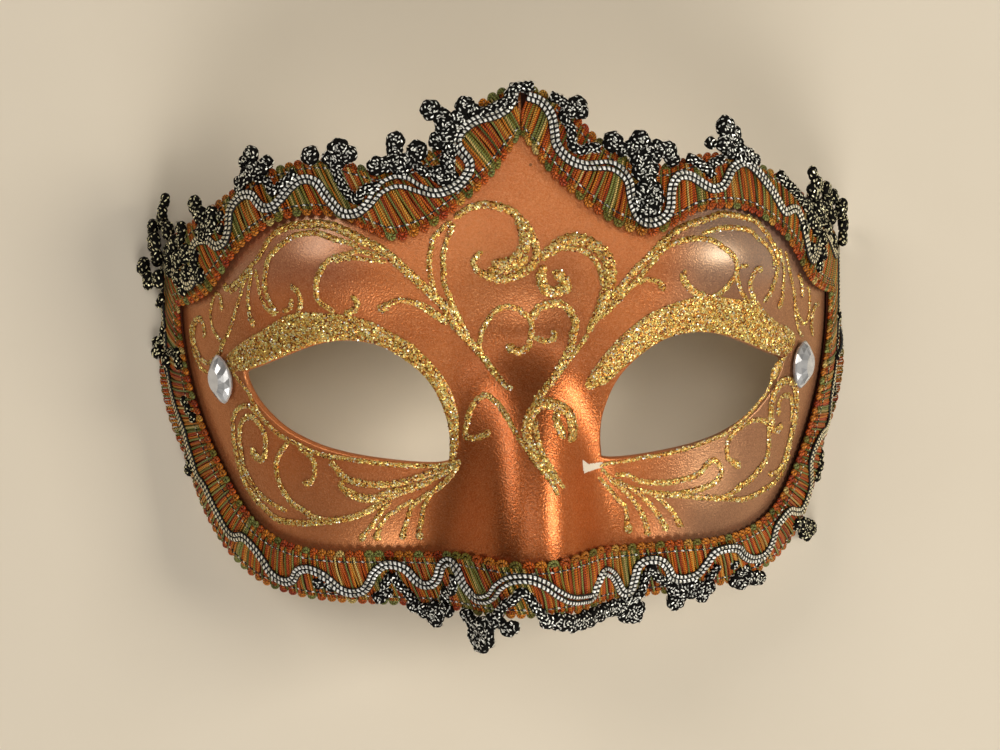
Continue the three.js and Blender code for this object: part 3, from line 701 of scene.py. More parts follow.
def strand(side, y, lift, radius, sides, squash=1.0):
    """Tubes along lines on the face, one for each row of side and y: rings of the radius about
    each point, across its direction. Returns points, faces, each corner's distance along and place
    round, and the faces that close the ends."""
    centre, _, across, up = directions(side, y, lift)
    strips, rows = centre.shape[:2]
    w = np.arange(sides)[:, None] * math.tau / sides
    radius = np.broadcast_to(radius, (strips, rows))[..., None, None]
    ring = centre[..., None, :] + radius * (
        across[..., None, :] * np.cos(w) + squash * up[..., None, :] * np.sin(w))
    faces, (s, i, j) = grid(rows, sides, strips)
    uv = np.stack([distances(centre)[s, i], j / sides], -1)
    first = np.arange(strips)[:, None] * rows * sides + np.arange(sides)
    ends = np.concatenate([first, (first + (rows - 1) * sides)[:, ::-1]])
    return ring.reshape(-1, 3), faces[:, ::-1], uv[:, ::-1], ends


def bundle(name, strands, finish, tint=None):
    """Several strands as one piece."""
    points, faces, uvs, count = [], [], [], 0
    for ring, quads, uv, ends in strands:
        points.append(ring)
        faces += (quads + count).tolist() + (ends + count).tolist()
        uvs += [uv.reshape(-1, 2), np.zeros((ends.size, 2))]
        count += len(ring)
    return piece(name, np.vstack(points), faces, [finish], uv=np.vstack(uvs), tint=tint)


def thread_finish():
    """Twisted rayon thread: its own colour, fine slanting ply with painted shade in its grooves,
    and a silky sheen, partly painted as pale glints.
    """
    f = Finish("rayon_thread")
    far, around = f.pattern()
    ply = ((far / 0.55 + around * 2) * math.tau).call("SINE")
    painted_glints = f.noise(f.place(), 0.3, 3.0)
    # The dark grooves of the ply are painted shade.
    tone = f.mix(0.25 + ply.soft(-1.0, 0.4) * 0.75, paint(48, 16, 4), f.tint())
    # Pale flecks are painted glints.
    tone = f.coats(tone, (painted_glints.soft(0.60, 0.85) * 0.35, (250, 206, 120)))
    return f.done(Base_Color=tone, Roughness=0.42, Normal=f.bump(ply, 0.08, 0.9), Specular_IOR_Level=0.35)


def backing_finish():
    """Dark woven ground under the threads."""
    f = Finish("braid_ground")
    weave = f.noise(f.place(), 0.5, 3.0)
    tone = f.mix(weave, paint(34, 16, 8), paint(104, 44, 14))
    return f.done(Base_Color=tone, Roughness=0.9, Normal=f.bump(weave, 0.2, 0.7))


def silver_finish(name, cell, share, groove):
    """Flat silver tinsel wound on black thread: bright cells along the cord, each a share of the
    cell's length, with black between them; low on its sides, in the grooves, the black is painted
    shade. Outwards the silver takes a painted warm tint that stands for warmer light."""
    f = Finish(name)
    far, around = f.pattern()
    where = f.place()
    edge = (((far + (around - 0.25) * 1.1) / cell).call("FRACT") - 0.5).call("ABSOLUTE")
    bright = 1 - edge.soft(share / 2 - 0.06, share / 2 + 0.02)
    # Silver only on the cord's top: low on its sides and beneath, black is painted as shade.
    lit = bright * (around * math.tau).call("SINE").soft(groove, groove + 0.2)
    worn = f.noise(where, 0.9, 2.0).soft(0.38, 0.56)
    out = f.node("ShaderNodeSeparateXYZ", sockets={0: where}).call("ABSOLUTE")
    silver = f.mix(worn, paint(176, 170, 154), paint(255, 255, 252))
    # Outwards the silver takes a painted warm tint that stands for warmer light.
    silver = f.coats(silver, (out.soft(*painted_warmth_span) * 0.75, (236, 216, 156)))
    tone = f.mix(lit, paint(7, 5, 6), silver)
    return f.done(Base_Color=tone, Metallic=lit * 0.12, Roughness=0.6 - lit * 0.35,
                  Normal=f.bump(lit, 0.14, 0.8))


rust, orange, amber, gold, olive, moss, sage, straw = (paint(*c)[:3] for c in (
    (186, 66, 12), (216, 98, 20), (228, 138, 34), (234, 174, 74),
    (142, 134, 48), (104, 112, 40), (148, 154, 78), (226, 196, 116)))
# Each group: its four threads laid together, and the thread laid beside them.
group_kinds = np.array([
    (orange, amber, orange, rust, sage), (rust, orange, amber, orange, olive),
    (amber, gold, amber, orange, sage), (orange, amber, rust, orange, moss),
    (olive, sage, straw, olive, amber), (rust, orange, orange, amber, straw)])
group_odds = [0.24, 0.2, 0.16, 0.14, 0.14, 0.12]
group, thread_thick, thread_rise, thread_bow = 2.3, 0.25, 0.95, 0.75
bow_points, thread_sides, stitch_sides = 11, 6, 5
thread_spots = np.array([-0.40, -0.20, 0.0, 0.20, 0.42])
thread_high = np.array([-0.08, 0.14, 0.22, 0.1, 0.3])
# Each nub: share across at its foot, reach beyond it, half its width in pitches, radius and rise.
nubs = ((0.94, 0.115, 0.42, 0.40, 0.85), (0.94, 0.05, 0.18, 0.38, 1.1),
        (0.03, -0.085, 0.38, 0.36, 0.85), (0.03, -0.03, 0.15, 0.34, 1.1))
ground_share, ground_rise = np.array([0, 0, 0.5, 1, 1, 0.5]), np.array([0, 0.7, 1.2, 0.7, 0, 0])
stitch_shares, stitch_rise, stitch_thick, stitch_twist = (0.87, 0.13), 1.72, 0.15, 1.1
# Between these distances out from the middle, silver takes a painted warm tint of the light.
painted_warmth_span = 50, 80
# How far the threads run ahead on their way in from the outer edge, at distances along each run.
slants = {"upper_right": [(0, -3.4), (20, -1.2), (45, 4), (110, 4)],
          "upper_left": [(0, -5), (45, -2.6), (75, 0.5), (110, 2)],
          "lower": [(0, 0), (45, 2), (120, 2.8), (210, 2.8), (250, 0)]}
finish_thread, finish_ground = thread_finish(), backing_finish()
finish_stitch = silver_finish("silver_stitch", 2.2, 0.3, -0.4)
run_upper = paired([(peak_side, peak_y)] + upper_edge[1:], inner_upper)
run_lower = paired(lower_edge, inner_lower)
runs = {"upper_right": run_upper, "upper_left": mirrored(run_upper),
        "lower": run_lower + mirrored(run_lower)[-2::-1]}
for name, rows in runs.items():
    run = Run(rows)
    number = round(run.length / group)
    pitch = run.length / number
    middle = (np.arange(number) + 0.5)[:, None] * pitch
    slant = np.interp(middle, *np.transpose(slants[name]))
    kind = random.choice(len(group_kinds), number, p=group_odds)
    share = np.linspace(1, 0, bow_points)
    start = (middle + thread_spots * pitch).reshape(-1, 1)
    stray = random.normal(0, 0.07, start.shape)
    sway = 0.09 * np.sin(share * 7 + random.uniform(0, 6, start.shape))
    along = start + np.repeat(slant, len(thread_spots), 0) * (share - 0.5) + stray + sway
    side, y = run.spot(along, share * 0.93 + 0.035)
    # A thread that slants past the end of the run ducks under its neighbours there.
    beyond = np.maximum(-along, along - run.length)
    bow = thread_bow * np.sin(np.clip(share, 0.04, 0.96) * math.pi) ** 0.5
    lift = glue + thread_rise - smooth(beyond / 0.6) + np.tile(thread_high, number)[:, None] + bow
    lift = lift + random.uniform(-0.06, 0.1, start.shape)
    strands = [strand(side, y, lift, thread_thick, thread_sides)]
    shades = [group_kinds[kind].reshape(-1, 3) * random.uniform(0.7, 1.15, (len(start), 1))]
    # Each group turns back in a round nub at the inner side and in a smaller one at the outer, and
    # the nubs take turns at the colours of their group.
    bow = np.linspace(-1, 1, bow_points)
    arch = np.sqrt(1 - bow ** 2)
    far_out = np.abs(run.spot(middle, 0)[0])
    turns = np.arange(number) % 4
    nub_colours = 0.85 * group_kinds[kind, np.where(turns, turns, 4)]
    for edge, reach, wide, thick, rise in nubs:
        way = np.clip(middle + bow * pitch * wide + slant * (edge - 0.5), 0, run.length)
        # At the temples the outer nubs are flattened under the edge.
        small = 1 - 0.7 * smooth((far_out - 90) / 8) * (edge < 0.5)
        side, y = run.spot(way, edge + reach * small * arch)
        radius = thick * small * (0.82 + 0.18 * arch)
        strands.append(strand(side, y, glue + rise + 0.15 * arch, radius, thread_sides))
        shades.append(nub_colours * random.uniform(0.75, 1.15, (number, 1)))
    tints = np.repeat(np.vstack(shades), bow_points * thread_sides, 0)
    gimp = bundle("gimp_" + name, strands, finish_thread, tints)
    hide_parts("braid_" + name)
    way = np.linspace(0, run.length, round(run.length / 1.5))[:, None]
    side, y = run.spot(way, ground_share)
    ends = [list(range(6))[::-1], list(range(side.size - 6, side.size))]
    piece("ground_" + name, over_table(face(side, y, glue + ground_rise), 0.05),
          grid(*side.shape)[0].tolist() + ends, [finish_ground])
    strands = []
    for share in stitch_shares:
        way = np.linspace(0.3, run.length - 0.3, round(run.length / 0.45))[None]
        for begin in (0, math.pi):
            twist = way * math.tau / stitch_twist + begin
            side, y = run.spot(way, share + 0.014 * np.sin(twist))
            lift = glue + stitch_rise + 0.12 * np.cos(twist)
            strands.append(strand(side, y, lift, stitch_thick, stitch_sides))
    bundle("stitch_" + name, strands, finish_stitch)


# Serpentine. Two cords of silver tinsel wound on black thread run side by side along the braid,
# laid in waves from one side of it to the other and stitched down.
# Each point: side, y, and the gap between the two cords where it isn't the usual one.
usual_gap = 1.4
waves = {
    "upper_left": [
        (-1.2, 59.4, 1.3), (-1.3, 57.4, 1.3), (-1.9, 55.2, 1.3), (-3.6, 53.4), (-6, 52.3), (-9, 51.6),
        (-11.3, 50.4), (-13.2, 48.8), (-13.9, 46.7, 1.5), (-13.1, 44.8, 1.5), (-11.6, 42.8, 1.5),
        (-11.3, 40.9), (-12.8, 38.6), (-15.3, 36.7), (-18.7, 35.9), (-21.8, 36.8, 1.6), (-25.4, 38.5, 2.6),
        (-28.2, 38.4, 2.6), (-30.8, 36.8, 2), (-32.8, 34.2), (-35.4, 32.2), (-38.2, 32.2), (-40.4, 34.1),
        (-42.7, 36.9), (-44.3, 39.1), (-46.6, 40.2), (-48.8, 39.9), (-51, 38.3), (-53.2, 36.1),
        (-55.1, 34.7), (-57.3, 34.7), (-59, 36.1), (-60.5, 37.7), (-62.9, 38), (-65.1, 36.9), (-66.8, 35),
        (-67.1, 33), (-67.3, 30.2), (-68.4, 28), (-70.7, 27.2), (-72.3, 27.7), (-74, 28.8), (-76.8, 29.1),
        (-79, 28.8), (-80.7, 27.2), (-80.3, 24.5), (-79.8, 22.2), (-80.5, 20), (-82.3, 18.9), (-84.8, 19.3),
        (-87.3, 20.8), (-90, 22.5), (-93, 23), (-96.5, 24), (-100, 26.5)],
    "upper_right": [
        (1.5, 56.5), (4.5, 55.2), (6.6, 52.2), (7.2, 48.7), (7.4, 46.4), (8.6, 44.2), (10.8, 42.3),
        (13.6, 41.3), (16.3, 41.3, 1.6), (19.1, 41.3, 1.8), (21.5, 40, 1.6), (23.1, 37.7), (23.5, 34.9),
        (24.1, 31.9), (25.2, 29.6), (27.5, 28.7), (30.4, 29.8), (32, 32.1), (32.5, 35), (33.2, 37.5),
        (34.7, 39.1), (36.9, 39.3), (38.8, 38.5), (41.2, 37), (43, 36.5), (45.3, 37.2), (46.7, 39), (48, 41),
        (50, 42.4), (52.2, 42.8), (54.8, 41.4), (57.3, 39.1), (60, 36.3), (62.4, 33), (63.8, 32.2),
        (66.3, 33), (68.2, 33), (69.8, 31), (70.8, 28.3), (71.8, 25.5), (73, 22.8), (75, 21.8), (77.2, 23.5),
        (79.5, 27), (82.5, 28.5), (86, 27.5), (90, 25), (93, 24), (97, 25.5), (100.5, 27)],
    "lower": [
        (100, 26), (102, 21.5), (101.5, 16.5), (100.5, 12.5), (101, 8.5), (102, 5), (101.5, 1), (99, -3),
        (96, -6), (94, -9.5), (93.5, -13), (94, -17), (90, -19.5), (85.5, -20.5), (81.5, -23), (79, -26.5),
        (79.7, -30), (80.2, -33), (78.3, -36), (75.5, -38.5), (72.6, -38.6), (68.9, -38), (65.5, -39.5),
        (63, -41.5), (62, -45), (59.5, -47.8), (55.5, -48.2), (52.2, -46.8), (50, -44.8), (46.4, -44.3),
        (43.3, -45.1), (41.4, -48), (39.5, -50.3), (36, -51.1), (33.4, -50.3), (32.3, -48.3), (30.3, -46.2),
        (27.3, -45.8), (25.1, -47.2), (24.4, -50), (23.6, -53), (21.6, -52.8), (20, -50), (18.5, -47.5),
        (16.2, -45.7), (14.5, -47.3), (13, -49.4), (10.7, -48.5), (7.3, -46.6), (4.6, -44.4), (1.8, -42.1),
        (-1.6, -40.8), (-5, -41.3), (-7.4, -43.4), (-9, -46.3), (-11.5, -47.9), (-14, -46.4), (-15.4, -43.7),
        (-17, -42.6), (-18.8, -44.1), (-19.6, -46.9), (-21, -49), (-23.1, -49.5), (-24.9, -48.2),
        (-26.5, -46.2), (-28.8, -44.9), (-31.4, -44.8), (-33.7, -46.8), (-34.8, -48.9), (-36.4, -51),
        (-39.2, -51.7), (-42, -50.6), (-44.2, -48.3), (-46.5, -46.7), (-49.3, -45.9), (-51.8, -46.8),
        (-53.4, -49), (-56.1, -49.6), (-59.4, -47.9), (-61.7, -44.7), (-64.4, -41.8), (-67.8, -39.7),
        (-70.7, -40), (-73.3, -39), (-76.7, -35.2), (-79.4, -31.9), (-82, -28.5), (-85.5, -26),
        (-87.2, -22.5), (-89.5, -18.5), (-91, -15), (-94, -11.5), (-97, -8), (-99.5, -3.5), (-101, 1),
        (-100.5, 5), (-101, 10), (-102, 14), (-102, 19), (-100.5, 25)]}
cord_cell, cords_apart, cord_rise, cord_sides, cord_squash = 1.06, 0.8, 0.3, 12, 0.85
finish_cord = silver_finish("silver_cord", cord_cell, 0.6, 0.6)
for name, points in waves.items():
    line = curve([(*point, usual_gap)[:3] for point in points], 0.18)
    ahead = unit(np.gradient(line[:, :2], axis=0))
    strands = []
    for hand in (-0.5, 0.5):
        off = line[:, 2] * cords_apart * hand
        side, y = line[:, 0] - ahead[:, 1] * off, line[:, 1] + ahead[:, 0] * off
        cells = math.pi * distances(np.stack([side, y], -1)) / cord_cell
        swell = 0.48 + 0.11 * np.abs(np.sin(cells)) ** 0.6
        lift = glue + braid_thick + cord_rise
        strands.append(strand(side[None], y[None], lift, swell, cord_sides, cord_squash))
    bundle("serpentine_" + name, strands, finish_cord)


# Sprigs. A thick bouclé cord, black with short strips of silver tinsel in it, is looped into
# bunches of lobes that stand off the outer edge, with stems down into the serpentine's troughs.
# Each bunch: its lift off the face, then side, y and reach of each lobe.
lobes = {
    "upper_left": [
        (2.6, [(-97, 40.5, 1.6), (-98, 38, 1.6), (-101, 36, 2), (-95, 33, 2), (-86, 32.5, 1.6),
            (-86.5, 30, 1.6), (-90, 29.5, 1.8), (-93, 27.5, 2.2), (-84, 26.5, 2.1), (-80, 25.5, 1.7),
            (-88, 25.5, 2), (-80, 22.5, 1.8), (-84, 22, 1.8), (-78, 21, 1.6), (-88, 21, 1.8),
            (-93, 23.5, 1.8), (-86, 18.5, 1.5)]),
        (4.6, [(-103, 34.5, 1.9), (-103, 31, 2.1), (-99, 27, 2), (-98, 30.5, 2), (-96, 21.5, 2)]),
        (6.4, [(-104, 25, 2.1), (-101, 21.5, 2)]),
        (2.4, [(-80, 37.5, 2.2), (-78, 35, 2.2), (-76, 32.5, 2.1), (-73, 35, 1.7), (-70, 34, 1.3),
            (-70, 31, 1.5), (-73, 32.5, 1.9), (-78, 31, 1.7)]),
        (2.4, [(-61, 47, 2), (-57, 44.7, 1.8), (-63, 45.5, 1.5), (-60, 43.7, 2), (-58, 43.4, 1.7),
            (-62, 42.4, 2), (-64, 41, 1.7), (-64, 39.5, 1.5), (-59, 41.5, 1.5)]),
        (2.4, [(-46, 45.4, 2.2), (-39.5, 46.2, 2.6), (-37.3, 45, 2.1), (-41.7, 44.5, 1.7),
            (-40, 43.6, 2.1)]),
        (2.4, [(-27, 47.4, 2.2), (-27.3, 45.5, 1.9), (-22.4, 45.1, 2.4), (-31.2, 42.2, 2.2),
            (-29, 42.5, 1.9), (-26.5, 42.8, 2.3), (-24.5, 43, 1.9), (-26, 41, 1.9)]),
        (2.4, [(-19.3, 54, 2.4), (-17, 52.3, 2.2), (-12, 54.6, 2.2), (-10, 53.6, 1.5), (-13.2, 52, 2.1),
            (-16, 50, 2.6), (-13.3, 49.8, 1.9), (-18, 47.2, 2.1), (-16, 47.3, 1.9), (-16, 43, 1.8),
            (-18, 40, 2), (-15.3, 39, 1.9)])],
    "upper_right": [
        (2.4, [(12.4, 54.6, 2.2), (11, 53.2, 1.7), (13.2, 53, 1.7)]),
        (2.4, [(20, 46.5, 2.4), (22, 44.8, 1.6)]),
        (2.4, [(26, 46.7, 2.5), (24.3, 45, 2.1), (27.5, 44.8, 2), (30, 45.2, 2), (32.4, 44.7, 2.2),
            (33.4, 43, 1.9), (29, 43.3, 2), (26, 42.6, 2.5), (26, 40, 2.2), (28.3, 40.5, 2), (27.5, 38, 2),
            (29, 36, 2), (26, 35.6, 2.1), (25, 33.2, 2), (27.3, 33, 2.2), (29.3, 34, 1.9), (26, 31, 1.8),
            (28.4, 31, 1.8)]),
        (2.4, [(47, 50.7, 2.5), (49.1, 49.4, 2), (47.7, 48, 2.2), (43, 46.8, 1.5), (46.3, 46.5, 2),
            (50, 47.2, 1.8), (48, 45.2, 1.9), (50.3, 44.8, 1.9), (52.7, 44.6, 1.8), (54.8, 43.6, 1.6)]),
        (2.6, [(77, 42.3, 1.5), (78, 39.8, 1.8), (77, 37.8, 2), (84, 39, 1.8), (91, 38, 1.8), (84, 35.7, 2),
            (73, 34.4, 1.7), (78, 33.8, 2.2), (75, 31.5, 2.1), (81, 32, 2), (88, 33, 1.9), (77, 29.6, 2.1),
            (71, 29.2, 1.6), (85, 29.7, 1.8), (80, 27, 1.7), (80, 23.5, 1.6), (74, 24.3, 1.4),
            (79, 20.6, 1.4), (89, 27, 1.7)]),
        (4.2, [(95, 36, 1.8), (100, 33, 1.9), (95, 31.5, 1.9), (92, 34.5, 1.9), (98, 28.5, 1.8)])],
    "lower": [
        (2.2, [(-47, -49.6, 1.7), (-44.3, -50.3, 1.6)]),
        (2.2, [(-31.6, -51.8, 1.8), (-33, -53, 1.6)]),
        (2.2, [(-25.2, -55, 1.8), (-23, -56, 1.9), (-20.3, -55, 2.1), (-17.8, -54.2, 1.9),
            (-20.4, -56.4, 2.3), (-20.4, -57.6, 1.8)]),
        (2.2, [(-13.3, -53.2, 1.7), (-11.8, -54, 1.9), (-9.8, -53, 2.1), (-8.4, -51.3, 1.7),
            (-11.2, -55, 1.9), (-9.6, -54.6, 1.7), (-11.8, -56.4, 1.8), (-9.6, -56.2, 1.8),
            (-10.8, -57.9, 2.1)]),
        (2.2, [(-7, -51.2, 1.5), (-5.6, -52, 1.7), (-4.5, -51.4, 1.5)]),
        (2.2, [(2.5, -50, 1.8), (4.5, -50.4, 1.9), (6.3, -51.3, 2), (8.3, -52.6, 2), (10.4, -53.2, 2.2),
            (13, -54.2, 2.2), (16, -55.3, 2.2), (18.6, -55.9, 2.2), (21, -56.6, 2.2), (23, -58.6, 2.4),
            (25.3, -57.8, 2.3), (25.2, -59.6, 2), (22.8, -55.6, 1.9), (24.8, -55.4, 1.8)]),
        (2.2, [(34.3, -53.6, 1.9), (35.3, -57, 2.4), (36.1, -55.2, 2), (37, -53.4, 1.7)]),
        (2.2, [(39, -55, 1.9), (41.2, -54.6, 2.2), (43.2, -54.2, 2.2), (42, -56, 1.9), (39.5, -53, 1.7)]),
        (2.2, [(51, -53.2, 1.9), (53, -54, 2), (55.2, -53, 1.9), (57.8, -53.6, 2), (60.2, -54, 1.7),
            (52, -51.4, 1.7), (54, -50.8, 1.5), (58, -49.4, 1.5), (50, -49, 1.5)]),
        (2.4, [(73.5, -42, 1.7), (77.5, -42.3, 1.9), (81.5, -43.4, 2.1), (84.5, -44.2, 2.1),
            (79, -44.6, 1.8), (83, -45.8, 1.8), (87, -45, 1.7)]),
        (2.2, [(89, -26, 1.6), (88.5, -28.5, 1.7), (86.5, -31, 1.6)]),
        (2.6, [(97, -10, 1.5), (98, -7, 1.5), (99, -1, 1.4), (100, 3, 1.4), (99, 9, 1.4)]),
        (3.4, [(-102, 16, 1.3), (-98, 17, 1.3), (-101, 9, 1.4), (-103, 6.5, 1.8), (-103, 4, 1.8),
            (-99, 2, 1.9)]),
        (2.2, [(-92, 3.5, 1.4), (-90, -8, 1.4), (-88, -10, 1.5), (-86, -12, 1.4), (-90, -23, 1.8),
            (-92, -25, 1.7)])]}
# Each stem: the points that it passes.
stems = {
    "upper_left": [
        [(-9, 52.8), (-7, 53.5), (-5, 54.5), (-3, 55.2), (-1, 56.2)],
        [(-3, 54), (-2.5, 56.5), (-1, 58.3), (1, 58.6), (3, 58.8)],
        [(-16, 46), (-16, 43), (-15.5, 40)],
        [(-40.5, 42.5), (-39.5, 40), (-38.5, 38), (-37, 36), (-35.5, 35), (-34.5, 36.5), (-33, 37.5),
         (-31, 37.8)],
        [(-57, 41), (-56, 39.5), (-55, 38), (-53, 39.3), (-51, 40.8), (-49.5, 42)],
        [(-23, 42.5), (-21, 40.5), (-19.5, 40.5), (-18, 39.3), (-16.5, 38.3), (-15.5, 40.5), (-15.5, 43),
         (-14.5, 46)],
        [(-73, 31.5), (-74.5, 30), (-77, 29)]],
    "upper_right": [
        [(6.5, 56.6), (8, 55.9), (9.2, 55.2), (10, 53.5), (9.2, 52), (10.5, 50), (11, 47.8), (11, 45.7),
         (13, 44.6), (15, 45.3), (17, 45)],
        [(50.5, 46.3), (52, 45.3), (54, 45)],
        [(51, 44.3), (53, 43)],
        [(37, 43.3), (39, 42.6), (40.5, 41.6), (42, 40.7), (43, 42), (44.5, 42.8), (46, 43.3)],
        [(42, 40.7), (43, 39.2)],
        [(62.5, 41), (64, 39.7), (65.5, 38.6), (67, 37.9), (69, 36.5), (71, 35.2), (73, 33.8)]],
    "lower": [
        [(-29.8, -47), (-29, -48.6), (-28, -50.2), (-26.5, -51.8), (-25.5, -53.5)],
        [(-32, -50.5), (-31, -48.8), (-29.8, -47)],
        [(-18, -52), (-18, -49.8), (-16.5, -49.2), (-16, -47.2), (-16, -45.3)],
        [(-7.5, -49.5), (-7, -48.3), (-6, -46.6), (-4.5, -45.5), (-3, -43.6), (-1.3, -44.8), (-0.3, -46.5),
         (1, -48), (2, -49.8)],
        [(26, -54.5), (26.5, -53), (27, -51), (27.2, -49.3), (28.3, -47.8), (29.5, -49.8), (31, -51),
         (33, -52.2)],
        [(42.5, -52), (44, -50), (45, -48.3)],
        [(-96, 4), (-92, 3), (-90, 0)]]}
boucle_step, boucle_wave, boucle_sides, boucle_squash = 0.3, 1.1, 10, 0.9
tinsel_density, golden = 0.95, 0.618034
lobe_middle, lobe_thick, high_bunch, fuller = 0.42, 0.58, 2.5, 1.18
stem_thick, stem_rise = 1.1, 0.2


def boucle_finish():
    """Curled black yarn, faintly brown where it catches the light."""
    f = Finish("boucle_cord")
    curl = f.noise(f.place(), 0.35, 3.0, 0.7)
    tone = f.mix(curl.soft(0.45, 0.8), paint(4, 3, 3), paint(26, 21, 18))
    return f.done(Base_Color=tone, Roughness=0.8, Normal=f.bump(curl, 0.3), Specular_IOR_Level=0.15)


def tinsel_finish():
    """Strips of silver tinsel, each bright or dull by its own tint."""
    f = Finish("tinsel_strips")
    return f.done(Base_Color=f.tint(), Metallic=0.3, Roughness=0.25 + f.noise(f.place(), 2.0) * 0.15)


def knobbly(line, thick, lift, phase):
    """Bouclé cord along a line: its radius swells and shrinks every 1.1 mm. Returns its strand
    and the strips of tinsel on it: six-sided, each lying on the cord 17 to 54 degrees off its way,
    at across * cos + up * sin of an angle round the cord that is mostly on its upper side."""
    far = np.arange(len(line)) * boucle_step
    radius = thick * (1 + 0.1 * np.sin(far * math.tau / boucle_wave + phase) + 0.05 * np.sin(far * 2.7))
    side, y = line.T[:, None]
    centre, ahead, across, up = (v[0] for v in directions(side, y, lift))
    count = int(distances(centre)[-1] * math.tau * thick * tinsel_density)
    order = np.arange(count) + random.random()
    at = np.minimum(order / count * len(line), len(line) - 1).astype(int)
    w = np.mod(order * golden, 1)[:, None] * 1.4 - 0.2
    w = (w + random.uniform(-0.05, 0.05, (count, 1))) * math.pi
    out = across[at] * np.cos(w) + boucle_squash * up[at] * np.sin(w)
    slip = random.uniform(-0.5, 0.5, (count, 1)) * boucle_step
    spot = centre[at] + ahead[at] * slip + out * (radius[at][:, None] + 0.02)
    lean = random.choice((-1, 1), (count, 1)) * random.uniform(0.3, 0.95, (count, 1))
    along = ahead[at] * np.cos(lean) + np.cross(out, ahead[at]) * np.sin(lean)
    wide = np.cross(out, along)
    long, slim = random.uniform(0.3, 0.46, (count, 1, 1)), random.uniform(0.14, 0.19, (count, 1, 1))
    tips = np.array([-1, -0.6, 0.6, 1, 0.6, -0.6])[:, None]
    rims = np.array([0, 1, 1, 0, -1, -1])[:, None]
    strips = (spot[:, None] + along[:, None] * tips * long + wide[:, None] * rims * slim
              + out[:, None] * (0.09 - 0.05 * np.abs(tips)))
    return strand(side, y, lift, radius, boucle_sides, boucle_squash), strips


finish_boucle, finish_tinsel = boucle_finish(), tinsel_finish()
w = np.linspace(0, math.tau, 40)
for name in runs:
    cords = []
    for lift, bunch in lobes[name]:
        # The high bunches at the temples are the fuller ones.
        grow = fuller if lift > high_bunch and name != "lower" else 1.0
        for s, y, reach in bunch:
            reach *= grow
            bend = lobe_middle * reach
            ring = np.stack([s + bend * np.cos(w + s), y + bend * np.sin(w + s)], -1)
            cords.append((curve(ring, boucle_step), lobe_thick * reach, lift + 0.25 * np.sin(3 * s), s))
    for points in stems[name]:
        lift = glue + braid_thick + stem_rise
        cords.append((curve(points, boucle_step), stem_thick, lift, points[0][0]))
    strands, strips = zip(*(knobbly(*cord) for cord in cords))
    bundle("sprigs_" + name, strands, finish_boucle)
    strips = np.concatenate(strips)
    # Out toward the temples the tinsel takes the same painted warm tint of the light.
    painted_warmth = smooth((np.abs(strips[:, 0, :1]) - painted_warmth_span[0]) / (painted_warmth_span[1] - painted_warmth_span[0]))
    tints = np.array([0.93, 0.93, 0.88]) - painted_warmth * (0.0, 0.07, 0.34)
    tints = tints * random.choice((0.35, 0.8, 1.05), (len(strips), 1), p=(0.15, 0.25, 0.6))
    loose("tinsel_" + name, strips, tints, finish_tinsel)


# Stones. Flat-backed navettes of clear glass with a silver foil back, cut with two rows of
# facets round a table, glued at the outer corner of each eye.
stone_long, stone_wide, stone_high, stone_lean = 11.6, 7.4, 3.0, 0.12
stone_side, stone_y, stone_sides, stone_point = 74.0, -3.1, 16, 1.25
# Each ring of corners: its share of the stone's size, its height, its turn in steps.
stone_rings = ((0.9, 0.0, 0), (1.0, 0.7, 0), (0.97, 1.1, 0), (0.78, 2.0, 0.5), (0.5, stone_high, 0))


def stone_finish():
    """Glass over silver foil: pale, very glossy, with painted reflections: pale patches, and a little
    blue and grey from facet to facet.
    """
    f = Finish("foiled_glass")
    painted_glare = f.noise(f.place(), 1.6, 2.0)
    # Pale patches are painted glare.
    tone = f.coats(f.tint(), (painted_glare.soft(0.3, 0.8) * 0.3, (250, 250, 252)))
    return f.done(Base_Color=tone, Metallic=0.35, Roughness=0.1, IOR=1.55,
                  Coat_Weight=1.0, Coat_Roughness=0.02)


# Facets between the rings: quads in the lowest two rows and pairs of triangles above, then the
# table and the back.
k = np.arange(stone_sides)
a = np.arange(len(stone_rings) - 1)[:, None] * stone_sides + k
b = a - k + (k + 1) % stone_sides
c, d = a + stone_sides, b + stone_sides
facets = [*np.stack([a, b, d, c], -1)[:2].reshape(-1, 4),
          *np.stack([a, b, c, b, d, c], -1)[2].reshape(-1, 3),
          *np.stack([a, b, d, a, d, c], -1)[3].reshape(-1, 3), c[3], k[::-1]]
facets = [facet[::-1] for facet in facets]
counts = [len(facet) for facet in facets]
# Every facet has its own points, so that each can have its own shade of reflected room.
faces = [part.tolist() for part in np.split(np.arange(sum(counts)), np.cumsum(counts)[:-1])]
finish_stone = stone_finish()
for name, sign in (("right", 1), ("left", -1)):
    foot = face(sign * stone_side, stone_y, glue)
    up = face(sign * stone_side, stone_y, 1) - face(sign * stone_side, stone_y, 0)
    long = np.array([sign * stone_lean, 1, 0]) / math.hypot(stone_lean, 1)
    long = unit(long - up * np.dot(long, up))
    wide = np.cross(long, up)
    rings = []
    for share, rise, twist in stone_rings:
        w = (k[:, None] + twist) * math.tau / stone_sides
        point = np.abs(np.sin(w)) ** stone_point * np.sign(np.sin(w))
        flat = stone_long / 2 * long * np.cos(w) + stone_wide / 2 * wide * point
        rings.append(foot + share * flat + up * rise)
    # Each facet's grey is a painted reflection of the room.
    shade = np.repeat(random.uniform(0.5, 1.1, len(facets)), counts)[:, None]
    made = piece("stone_cut_" + name, np.vstack(rings)[np.concatenate(facets)], faces, [finish_stone],
                 tint=shade * (0.66, 0.67, 0.71), flat=True)
    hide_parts("stone_" + name)


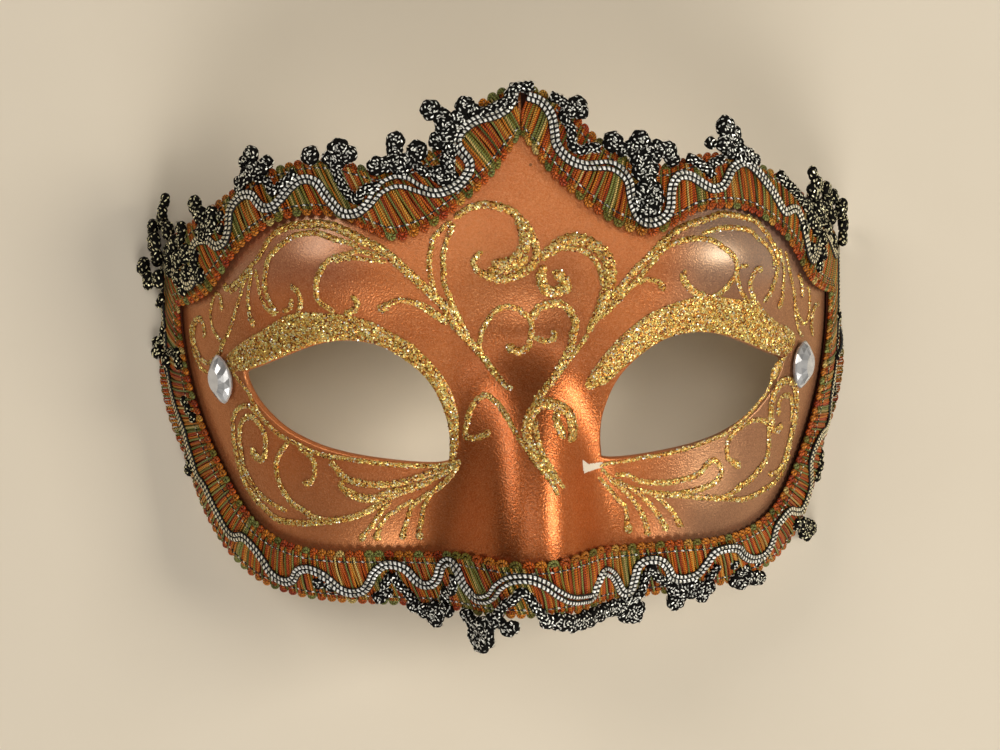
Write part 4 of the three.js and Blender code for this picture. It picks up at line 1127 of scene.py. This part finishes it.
# Table and light. A pale board, a warm lamp from the right, a broad one from below as a shelf
# throws light back, two weak ones above, and the camera straight over the mask.
board_half, room_light, lamps_aim = 3, 0.02, Vector((0, 0, 0.03))
board_corners = [(x * board_half, y * board_half, 0) for x, y in ((-1, -1), (1, -1), (1, 1), (-1, 1))]
board = bpy.data.meshes.new("board")
board.from_pydata(board_corners, [], [(0, 1, 2, 3)])
f = Finish("pale_board")
tone = f.mix(f.noise(f.place(), 60, 4.0), paint(226, 215, 198), paint(232, 222, 207))
board.materials.append(f.done(Base_Color=tone, Roughness=0.8))
floor = bpy.data.objects.new("board", board)
bpy.context.scene.collection.objects.link(floor)

world = bpy.data.worlds.new("room")
bpy.context.scene.world = world
world.use_nodes = True
background = world.node_tree.nodes["Background"]
background.inputs["Color"].default_value = (0.92, 0.92, 1.0, 1)
background.inputs["Strength"].default_value = room_light


def lamp(name, place, size, power, colour):
    """Square soft lamp aimed at the middle of the mask."""
    light = bpy.data.lights.new(name, "AREA")
    light.shape, light.size, light.energy, light.color = "SQUARE", size, power, colour
    made = bpy.data.objects.new(name, light)
    made.location = place
    made.rotation_euler = (lamps_aim - Vector(place)).to_track_quat("-Z", "Y").to_euler()
    bpy.context.scene.collection.objects.link(made)


lamp("key", (1.2, 0.15, 0.95), 0.48, 12.8, (1.0, 0.94, 0.8))
lamp("low", (0.1, -1.3, 0.8), 0.9, 14.5, (1.0, 0.96, 0.88))
lamp("left", (-0.9, 0.7, 0.9), 0.6, 5.4, (1.0, 0.94, 0.84))
lamp("over", (0.0, 0.2, 1.6), 0.6, 2.8, (1.0, 0.95, 0.86))

lens, film_width, distance, nearest = 53.1, 36.0, 0.372, 0.01
yaw, roll = math.radians(4.5), math.radians(1.475)
looked_at, beside = (0, 0.0025, 0.0003), (-0.001861, -0.003945)
aim = Matrix.Rotation(-yaw, 4, "Y") @ Matrix.Rotation(-roll, 4, "Z")
camera = bpy.data.objects.new("camera", bpy.data.cameras.new("camera"))
camera.data.lens, camera.data.sensor_width, camera.data.clip_start = lens, film_width, nearest
camera.matrix_world = Matrix.Translation(looked_at) @ aim @ Matrix.Translation((*beside, distance))
bpy.context.scene.collection.objects.link(camera)
bpy.context.scene.camera = camera
bpy.context.scene.view_settings.view_transform = "Standard"
